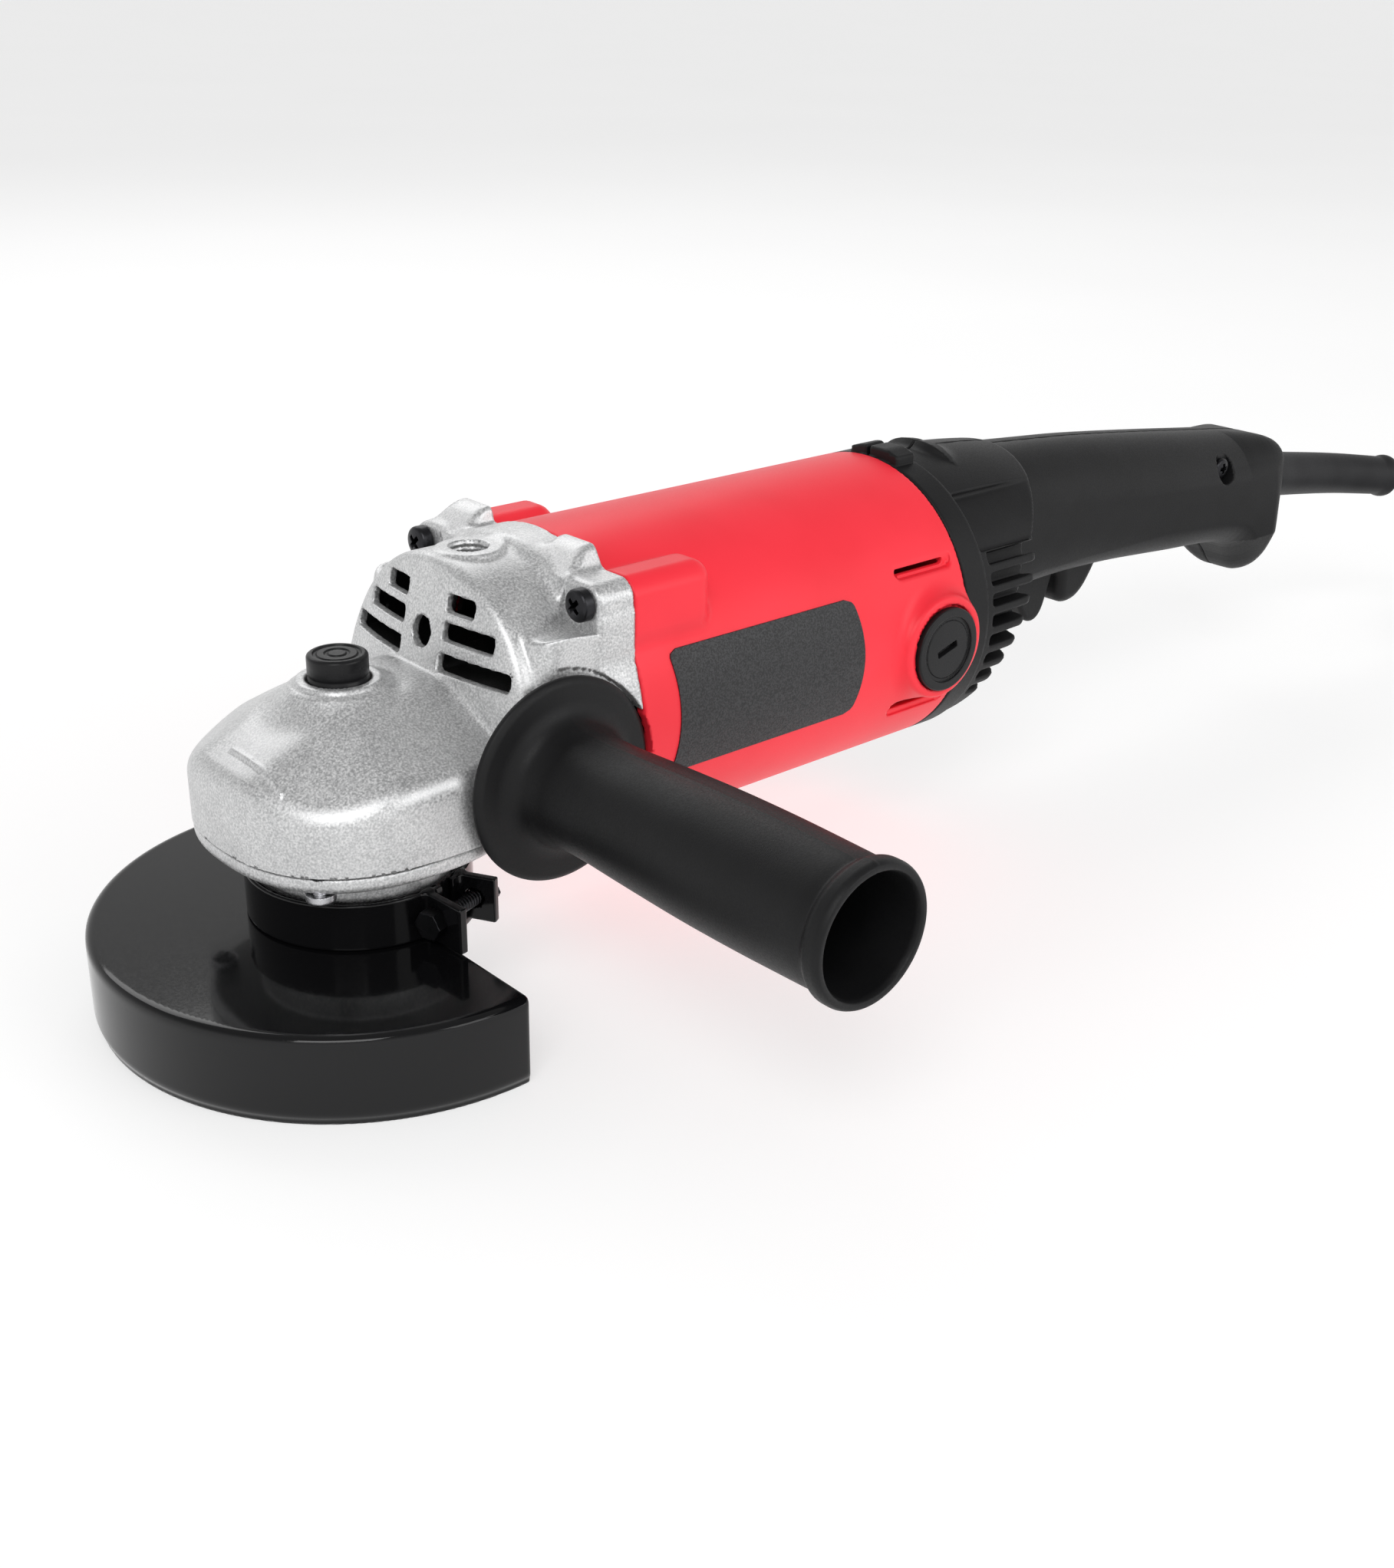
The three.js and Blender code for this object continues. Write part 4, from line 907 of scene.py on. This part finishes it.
def band_field(x, y, z):
    r = np.hypot(x, y)
    u, v = turn_axes(x, y, CLAMP_ANGLE)
    band = smax(both(r - 28.2, 26.9 - r), np.abs(z - 29.4) - 6.1, 0.5)
    band = both(band, -both(np.abs(v) - 2.0, 20 - u))
    for angle, reach in ((-60.5, 37.5), (-86, 41)):
        p, q = turn_axes(x, y, angle)
        ear = rounded_box(p, q, z, ((reach + 27) / 2, 0, 29.4), ((reach - 27) / 2, 1.15, 6.0), 0.5)
        band = smin(band, ear, 1.6)
    hole = np.hypot(u - BOLT_R, z - BOLT_Z) - 2.6
    return both(band, -both(hole, np.abs(v) - 14))


def hexagon(p, q, half):
    slants = both(np.abs(0.5 * q + 0.866 * p), np.abs(0.5 * q - 0.866 * p))
    return both(np.abs(q), slants) - half


def bolt_field(x, y, z):
    u, v = turn_axes(x, y, CLAMP_ANGLE)
    p, q = u - BOLT_R, z - BOLT_Z
    r = np.hypot(p, q)
    head = smax(both(hexagon(p, q, 3.4), np.abs(v + 10.4) - 1.7), r - 4.1 - (v + 11.6) * 0.3, 0.3)
    shank = both(r - 1.95 + 0.1 * np.cos(v * 2 * np.pi), np.abs(v - 0.8) - 11.2)
    return either(head, shank)


def nut_field(x, y, z):
    u, v = turn_axes(x, y, CLAMP_ANGLE)
    p, q = u - BOLT_R, z - BOLT_Z
    r = np.hypot(p, q)
    body = smax(both(hexagon(p, q, 3.4), np.abs(v - 10.4) - 1.5), r - 4.1, 0.3)
    return both(body, 2.2 - r)


def add_guard():
    skin("guard_shell", guard_field, (-67.5, -67.5, -0.2), (30.5, 67.5, 36), 0.62, PAINT, "guard", ["wheel_guard"])
    skin("guard_band", band_field, (-29, -42, 23), (29, 29, 36), 0.45, PAINT, "guard", ["clamp_band"])
    skin("band_bolt", bolt_field, (-8, -42, 24), (26, -24, 35), 0.3, BLACK_STEEL, "guard", ["clamp_bolt"])
    skin("band_nut", nut_field, (12, -38, 24), (28, -22, 35), 0.3, BLACK_STEEL, "guard", ["clamp_nut"])


# ---------------------------------------------------------------- spindle end
def add_spindle():
    profile = [(0, 0), (6.0, 0), (7, 1)]
    z = 1.0
    while z < 12.6:
        profile += [(7, z + 0.15), (6.15, z + 0.95), (7, z + 1.75)]
        z += 2.0
    profile += [(7, 13), (8.4, 13, 0.3), (8.4, 30.2), (7.5, 30.2), (7.5, 43.5), (6.2, 43.5), (6.2, 62.2),
                (5, 62.2), (5, 66.4), (0, 66.4)]
    turned("spindle_turned", filleted(profile), STEEL, "spindle", ["spindle"], angle=28)
    flange = [(7.3, 11.5, 0.2), (11, 11.5, 0.4), (11, 13.5), (21, 13.5, 0.4), (21, 15.5, 0.5), (16, 17.7, 0.6),
              (8.7, 17.7, 0.2), (8.7, 12.7), (7.3, 12.7), (7.3, 11.5, 0.2)]
    turned("inner_flange_turned", filleted(flange), STEEL, "spindle", ["inner_flange"])

    def nut(x, y, z):
        r = np.hypot(x, y)
        body = smax(smax(r - 20, 3 - z, 0.9), z - 7.5, 0.6)
        body = smin(body, smax(r - 10.8, z - 9, 0.4), 0.4)
        body = both(body, 3 - z)
        body = smax(body, -(r - 7.3), 0.4)
        holes = np.hypot(np.abs(x) - 10.6, np.abs(y) - 10.6) - 2.4
        return smax(body, -both(holes, z - 6), 0.3)

    skin("lock_nut_turned", nut, (-20.5, -20.5, 2.5), (20.5, 20.5, 9.5), 0.4, BLACK_STEEL, "spindle", ["lock_nut"])


# ---------------------------------------------------------------- side handle
def add_side_handle():
    end = 104.2
    outside = [(5.4, 0.2), (24.9, 0.2, 0.4), (25.9, 1.2, 0.5), (25.9, 2.3, 0.6), (24.6, 3.3, 0.8),
               (19.2, 3.7, 2.5), (16.2, 5.6, 2.2), (14.7, 10, 3), (14.6, 20, 4), (15.2, 34, 6), (15.9, 56, 8),
               (15.95, 74, 8),
               (15.5, end - 9, 3), (15.2, end - 6.0, 1.4), (16.1, end - 5.0, 0.6), (16.7, end - 4.0, 1.2),
               (16.7, end - 1.3, 1.2), (16.0, end, 0.5), (14.6, end, 0.6), (14.1, end - 1.4, 0.5),
               (13.9, end - 12, 2), (12.6, 34, 3), (11.8, 30, 2), (6, 27.8), (5.4, 27.8), (5.4, 0.2)]

    def crease(x, y, z):
        r = math.hypot(x, y)
        if r < 12.2 and z > 26:
            return x, y, z
        off = abs((math.degrees(math.atan2(y, x)) + 90) % 360 - 180)
        if z > 3.4 and r > 14.4 and off < 2.0:
            out = r + 0.16
            return x * out / r, y * out / r, z
        return x, y, z

    at = shift(HANDLE_X, -39.0, HANDLE_Z) @ TO_MINUS_Y
    turned("side_grip", filleted(outside, 6), GRIP, "housing", ["side_handle"], at, 180, 40, crease)


# ---------------------------------------------------------------- motor housing
def motor_field(x, y, z):
    ay = np.abs(y)
    r = np.hypot(y, z - MOTOR_Z)
    tube = smax(r - MOTOR_R, x - 177.7, 0.8)
    body = smin(tube, screw_lugs(x, y, z, 67.5, 16, 5), 3)
    body = smax(body, 57.3 - x, 0.6)
    bx = np.hypot(x - 165.5, z - 65)
    boss = smax(bx - 15, ay - 45.6, 1.8)
    boss = both(boss, 30 - ay)
    body = smin(body, boss, 4.5)
    rear = both(r - 14, both(170 - x, x - 184))
    body = either(body, rear)
    bore = both(r - 39.6, x - 173)
    body = both(body, -bore)
    body = both(body, -both(r - 11.3, 174 - x))
    body = smax(body, -both(bx - 12.5, 44.4 - ay), 0.4)
    body = both(body, -both(np.hypot(x - 166, z - 64.8) - 10.6, 30 - ay))
    for zs, tilt in ((87.3, 1), (47.6, -1)):
        slot = rounded_rect(x, z, (161.5, zs), (10.4, 0.95), 0.9)
        recess = rounded_rect(x, z, (163, zs + 0.4 * tilt), (11.5, 2.3), 2.2)
        body = smax(body, -both(recess, 36.6 - ay), 0.6)
        body = both(body, -both(slot, 28 - ay))
    body = both(body, -seat_relief(x, y, z))
    return both(body, -both(screw_axis(y, z) - 2.4, x - 78))


def add_label():
    """The blank label on the -Y side, its ends curved as on the real one."""
    rows, cols = 36, 90
    z0, z1 = 52.5, 84.8
    outer, inner = 43.25, 42.6
    points = []
    for r in (outer, inner):
        for i in range(rows + 1):
            v = i / rows
            z = z0 + (z1 - z0) * v
            across = 2 * v - 1
            corner = max(0.0, abs(across) - 0.86) / 0.14
            pull = 2.6 * (1 - math.sqrt(max(0.0, 1 - corner ** 2)))
            left = 67.3 + 1.5 * (1 - across ** 2) + pull
            right = 132.5 + 2.6 * (1 - across ** 2) - pull
            for k in range(cols + 1):
                x = left + (right - left) * k / cols
                height = z - MOTOR_Z
                points.append((x, -math.sqrt(r * r - height * height), z))
    faces = []
    width, back = cols + 1, (rows + 1) * (cols + 1)
    for i in range(rows):
        for k in range(cols):
            a = i * width + k
            faces.append((a, a + 1, a + 1 + width, a + width))
            faces.append((back + a, back + a + width, back + a + 1 + width, back + a + 1))
    rim = [*range(cols), *range(cols, back - 1, width), *range(back - 1, back - width, -1),
           *range(back - width, 0, -width)]
    faces += [(a, back + a, back + b, b) for a, b in zip(rim, rim[1:] + rim[:1])]
    piece = new_mesh("side_label", points, faces, LABEL, "housing", ["label_plate"])
    tidy_normals(piece)


def add_brush_caps():
    for side, node in ((-1, "brush_cap_left"), (1, "brush_cap_right")):

        def field(x, y, z, side=side):
            out = y * side
            u, v = x - 165.4, z - 64.8
            r = np.hypot(u, v)
            ring = smax(smax(r - 12.1, out - 47.0, 0.6), 45.0 - out, 0.3)
            plugged = both(r - 10.2, both(36 - out, out - 45.9))
            body = either(ring, plugged)
            body = smax(body, -both(np.abs(r - 9.0) - 0.55, 46.3 - out), 0.3)
            body = smax(body, -both(r - 8.5, 46.55 - out), 0.3)
            p, q = turn_axes(u, v, 16 if side < 0 else -35)
            slot = rounded_rect(p, q, (0, 0), (4.0, 1.0), 0.3)
            return smax(body, -both(slot, 44.6 - out), 0.15)

        low, high = (153, min(side * 36, side * 48), 52), (179, max(side * 36, side * 48), 78)
        skin(f"brush_plug_{node[10:]}", field, low, high, 0.3, SMOOTH_BLACK, "housing", [node])


def add_motor():
    skin("motor_shell", motor_field, (57, -46, 23), (184.5, 46, 110), 0.86, RED, "housing", ["motor_housing"])
    add_label()
    add_brush_caps()


# ---------------------------------------------------------------- tail handle
GRIP_OUTLINE = smooth_outline([(196, 107.4), (212, 106.2), (230, 104.8), (253, 102.9), (277, 100.8), (311, 96.9),
                               (348, 92.3), (364, 90.3), (375, 88.2), (380.9, 84), (382.6, 76), (382.9, 65),
                               (383.1, 53), (381.2, 44), (376, 39), (370.5, 38.5), (366, 41.2), (360.5, 47.2),
                               (353, 52.8), (339, 55.3), (318, 56.9), (303, 58.2), (285, 59.7), (268, 60.6),
                               (252, 60.9), (238, 60.5), (212, 59), (196, 58.5)], 4)
STUB_OUTLINE = smooth_outline([(293, 63), (287.5, 59), (284, 54), (280.5, 49.6), (276, 46.6), (270.5, 46.2),
                               (267.2, 49), (266.6, 56), (266, 63), (278, 66)], 5)


def tail_outer(x, y, z):
    ay = np.abs(y)
    r = np.hypot(y, z - MOTOR_Z)
    collar = smax(smax(r - MOTOR_R, x - 187.5, 1.0), 178 - x, 0.8)
    rear = x - np.where(z < 86, 215.3 - (86 - z) * 0.38, 215.3 + (z - 86) * 0.92)
    taper = r - 42.0 + 0.0016 * both(x - 190, 0) ** 2
    drum = smax(taper, rear * 0.94, 3)
    drum = both(drum, 178 - x)
    edge = 9 + 9 * np.clip((z - 66) / 16, 0, 1) * np.clip((378 - x) / 22, 0.05, 1)
    half = 20 - 0.33 * np.clip(54 - z, 0, 15) - np.where(y > 0, 0.25 * np.clip(54 - z, 0, 15), 0)
    grip = rounded_plate(outline_field(GRIP_OUTLINE, x, z), ay - half, edge)
    grip = both(grip, 190 - x)
    body = smin(drum, grip, np.clip((103 - z) * 0.9, 1, 12))
    stub = rounded_plate(outline_field(STUB_OUTLINE, x, z), ay - 8.5, 3.5)
    body = smin(body, stub, 2.5)
    body = smin(body, collar, 0.6)
    reach = np.where(y < 0, 11.5, 7.0)
    clip = rounded_box(x, ay - reach / 2, z, (182.2, 0.2, 107.7), (3.9, reach / 2 - 0.2, 4.4), 0.8)
    clip = smax(clip, ay * 0.35 + z - (114.6 - 0.35 * (11.5 - reach)), 0.5)
    return either(body, smax(clip, 0.45 - ay, 0.5))


def tail_field(x, y, z):
    ay = np.abs(y)
    r = np.hypot(y, z - MOTOR_Z)
    outer = tail_outer(x, y, z)
    angle = np.degrees(np.arctan2(z - MOTOR_Z, ay))
    panel = smax(smax((angle - 55.0) * 0.7, (28.6 - angle) * 0.7, 1.5), smax(188.5 - x, -(r - 39.6), 0.8), 1.2)
    panel = smax(panel, x - 235, 1)
    body = smax(outer, -panel, 0.8)
    for i in range(8):
        middle = 25.2 - i * 8.5
        across = np.abs(np.radians(angle - middle)) * r - 1.75
        slot = smax(smax(across, 190.6 - x, 1.2), both(35.8 - r, x - 216), 0.4)
        body = smax(body, -slot, 0.9)
    notch = both(np.hypot(ay - 34.0, z - 91.8) - 2.4, 207 - x)
    body = smax(body, -notch, 0.5)
    inner_drum = both(both(r - 33.5, x - 206), 150 - x)
    inner_grip = both(outer + 3.2, 190 - x)
    inner_grip = both(inner_grip, np.where(x < 214, r - 33.5, -9))
    inner_front = both(r - 37.5, x - 186)
    hollow = either(inner_drum, either(inner_grip, inner_front))
    body = both(body, -hollow)
    body = both(body, -rounded_box(x, y, z, (251, 0, 55), (15, 7.4, 11), 1))
    body = both(body, -both(np.hypot(x - 165.5, z - 65) - 15.4, 36 - ay))
    recess = both(np.hypot(x - 341, z - 82.6) - 4.9, 15.2 - ay)
    post = both(np.hypot(x - 341, z - 82.6) - 6.8, ay - 19)
    body = either(body, both(post, outer))
    body = smax(body, -both(recess, y), 0.4)
    body = both(body, -(np.hypot(x - 341, z - 82.6) - 2.3))
    return both(body, -both(np.hypot(y, z - 70) - 9.0, 376 - x))


def add_tail():
    for side, node in ((-1, "handle_shell_left"), (1, "handle_shell_right")):

        def field(x, y, z, side=side):
            return smax(tail_field(x, y, z), 0.12 - y * side, 0.5)

        low = (177.5, min(side * 0.1, side * 43.2), 23)
        high = (388, max(side * 0.1, side * 43.2), 113)
        skin(f"tail_shell_{node[13:]}", field, low, high, 0.75, GRIP, "housing", [node])

    def screw(x, y, z):
        return screw_solid(x - 341, z - 82.6, -15.3 - y, (3.5, 2.3), 0.7, 0.05, (2, 8, 0.4), (1.9, 0.6))

    skin("grip_screw", screw, (337, -18, 78.5), (345, -7, 86.8), 0.22, BLACK_STEEL, "housing", ["handle_screw"])


TRIGGER_OUTLINE = smooth_outline([(236.8, 66.5), (238.5, 75.5), (243.5, 75), (262.4, 67), (265, 62.4), (263, 53.8),
                                  (260.2, 45.9), (256.5, 42.8), (252, 43.9), (248, 49.5), (244.4, 56), (240.6, 61)], 5)


def trigger_field(x, y, z):
    body = rounded_plate(outline_field(TRIGGER_OUTLINE, x, z), np.abs(y) - 6.8, 1.5)
    return both(body, -(np.hypot(x - 240, z - 72) - 1.8))


def add_trigger():
    skin("trigger_paddle", trigger_field, (236, -7, 43), (265.5, 7, 76.5), 0.45, GRIP, "trigger", ["trigger"])


# ---------------------------------------------------------------- floor, light and the rest of the CAD nodes
def add_floor():
    m = Nodes("pale_floor", (0.5, 0.5, 0.5), 0.8)
    m.set("Emission Color", (1, 1, 1, 1))
    m.set("Emission Strength", 0.56)
    m.set("Specular IOR Level", 0.1)
    cloud = m.noise(400, 2.0)
    m.feed(m.ramp(cloud, [(0.3, (0.49, 0.49, 0.49)), (0.7, (0.51, 0.51, 0.51))]), "Base Color")
    mesh = bpy.data.meshes.new("floor")
    mesh.from_pydata([(-40, -40, 0), (40, -40, 0), (40, 40, 0), (-40, 40, 0)], [], [(0, 1, 2, 3)])
    mesh.materials.append(m.material)
    floor = bpy.data.objects.new("floor", mesh)
    bpy.context.scene.collection.objects.link(floor)


def add_light(name, place, target, size, power, colour=(1, 1, 1)):
    data = bpy.data.lights.new(name, "AREA")
    data.shape = "RECTANGLE"
    data.size, data.size_y = size
    data.energy = power
    data.color = colour
    light = bpy.data.objects.new(name, data)
    light.location = place
    light.rotation_mode = "QUATERNION"
    light.rotation_quaternion = (Vector(target) - Vector(place)).to_track_quat("-Z", "Y")
    bpy.context.scene.collection.objects.link(light)


def add_world():
    """Soft white light all round, brightest near the horizon."""
    world = bpy.data.worlds.new("studio")
    world.use_nodes = True
    tree = world.node_tree
    place = tree.nodes.new("ShaderNodeTexCoord")
    parts = tree.nodes.new("ShaderNodeSeparateXYZ")
    ramp = tree.nodes.new("ShaderNodeMapRange")
    ramp.inputs["From Min"].default_value = 0.1
    ramp.inputs["From Max"].default_value = 0.75
    ramp.inputs["To Min"].default_value = 1.0
    ramp.inputs["To Max"].default_value = 0.34
    tree.links.new(place.outputs["Generated"], parts.inputs[0])
    tree.links.new(parts.outputs[2], ramp.inputs["Value"])
    tree.links.new(ramp.outputs[0], tree.nodes["Background"].inputs["Strength"])
    tree.nodes["Background"].inputs["Color"].default_value = (1, 1, 1, 1)
    bpy.context.scene.world = world


FINISHES = {
    STEEL: ["lower_bearing", "lock_pin", "lock_spring", "handle_stud", "brush_spring_left", "brush_spring_right",
            "front_bearing", "rear_bearing", "armature_shaft", "trigger_pin"],
    BLACK_STEEL: ["drive_gear", "pinion"],
    BRASS: ["upper_bush", "brush_holder_left", "brush_holder_right"],
    CARBON: ["carbon_brush_left", "carbon_brush_right"],
    LAMINATED: ["stator_core", "armature_core"],
    COPPER: ["field_winding_front", "field_winding_rear", "armature_winding_front", "armature_winding_rear",
             "commutator"],
    SMOOTH_BLACK: ["fan_baffle", "fan", "switch_body"],
}


def finish_nodes():
    for finish, names in FINISHES.items():
        for name in names:
            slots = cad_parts[name].data.materials
            slots.clear()
            slots.append(finish)


add_head()
add_housing_screws()
add_lock()
add_guard()
add_spindle()
add_side_handle()
add_motor()
add_tail()
add_trigger()
finish_nodes()
add_floor()
add_world()
add_light("key", (-0.9, -0.9, 1.3), (0.1, 0, 0.05), (0.9, 0.9), 11)
add_light("fill", (0.6, -1.4, 0.8), (0.2, 0, 0.05), (1.2, 0.8), 7)
add_light("rim", (0.4, 1.1, 1.1), (0.15, 0, 0.08), (1.4, 0.6), 6)
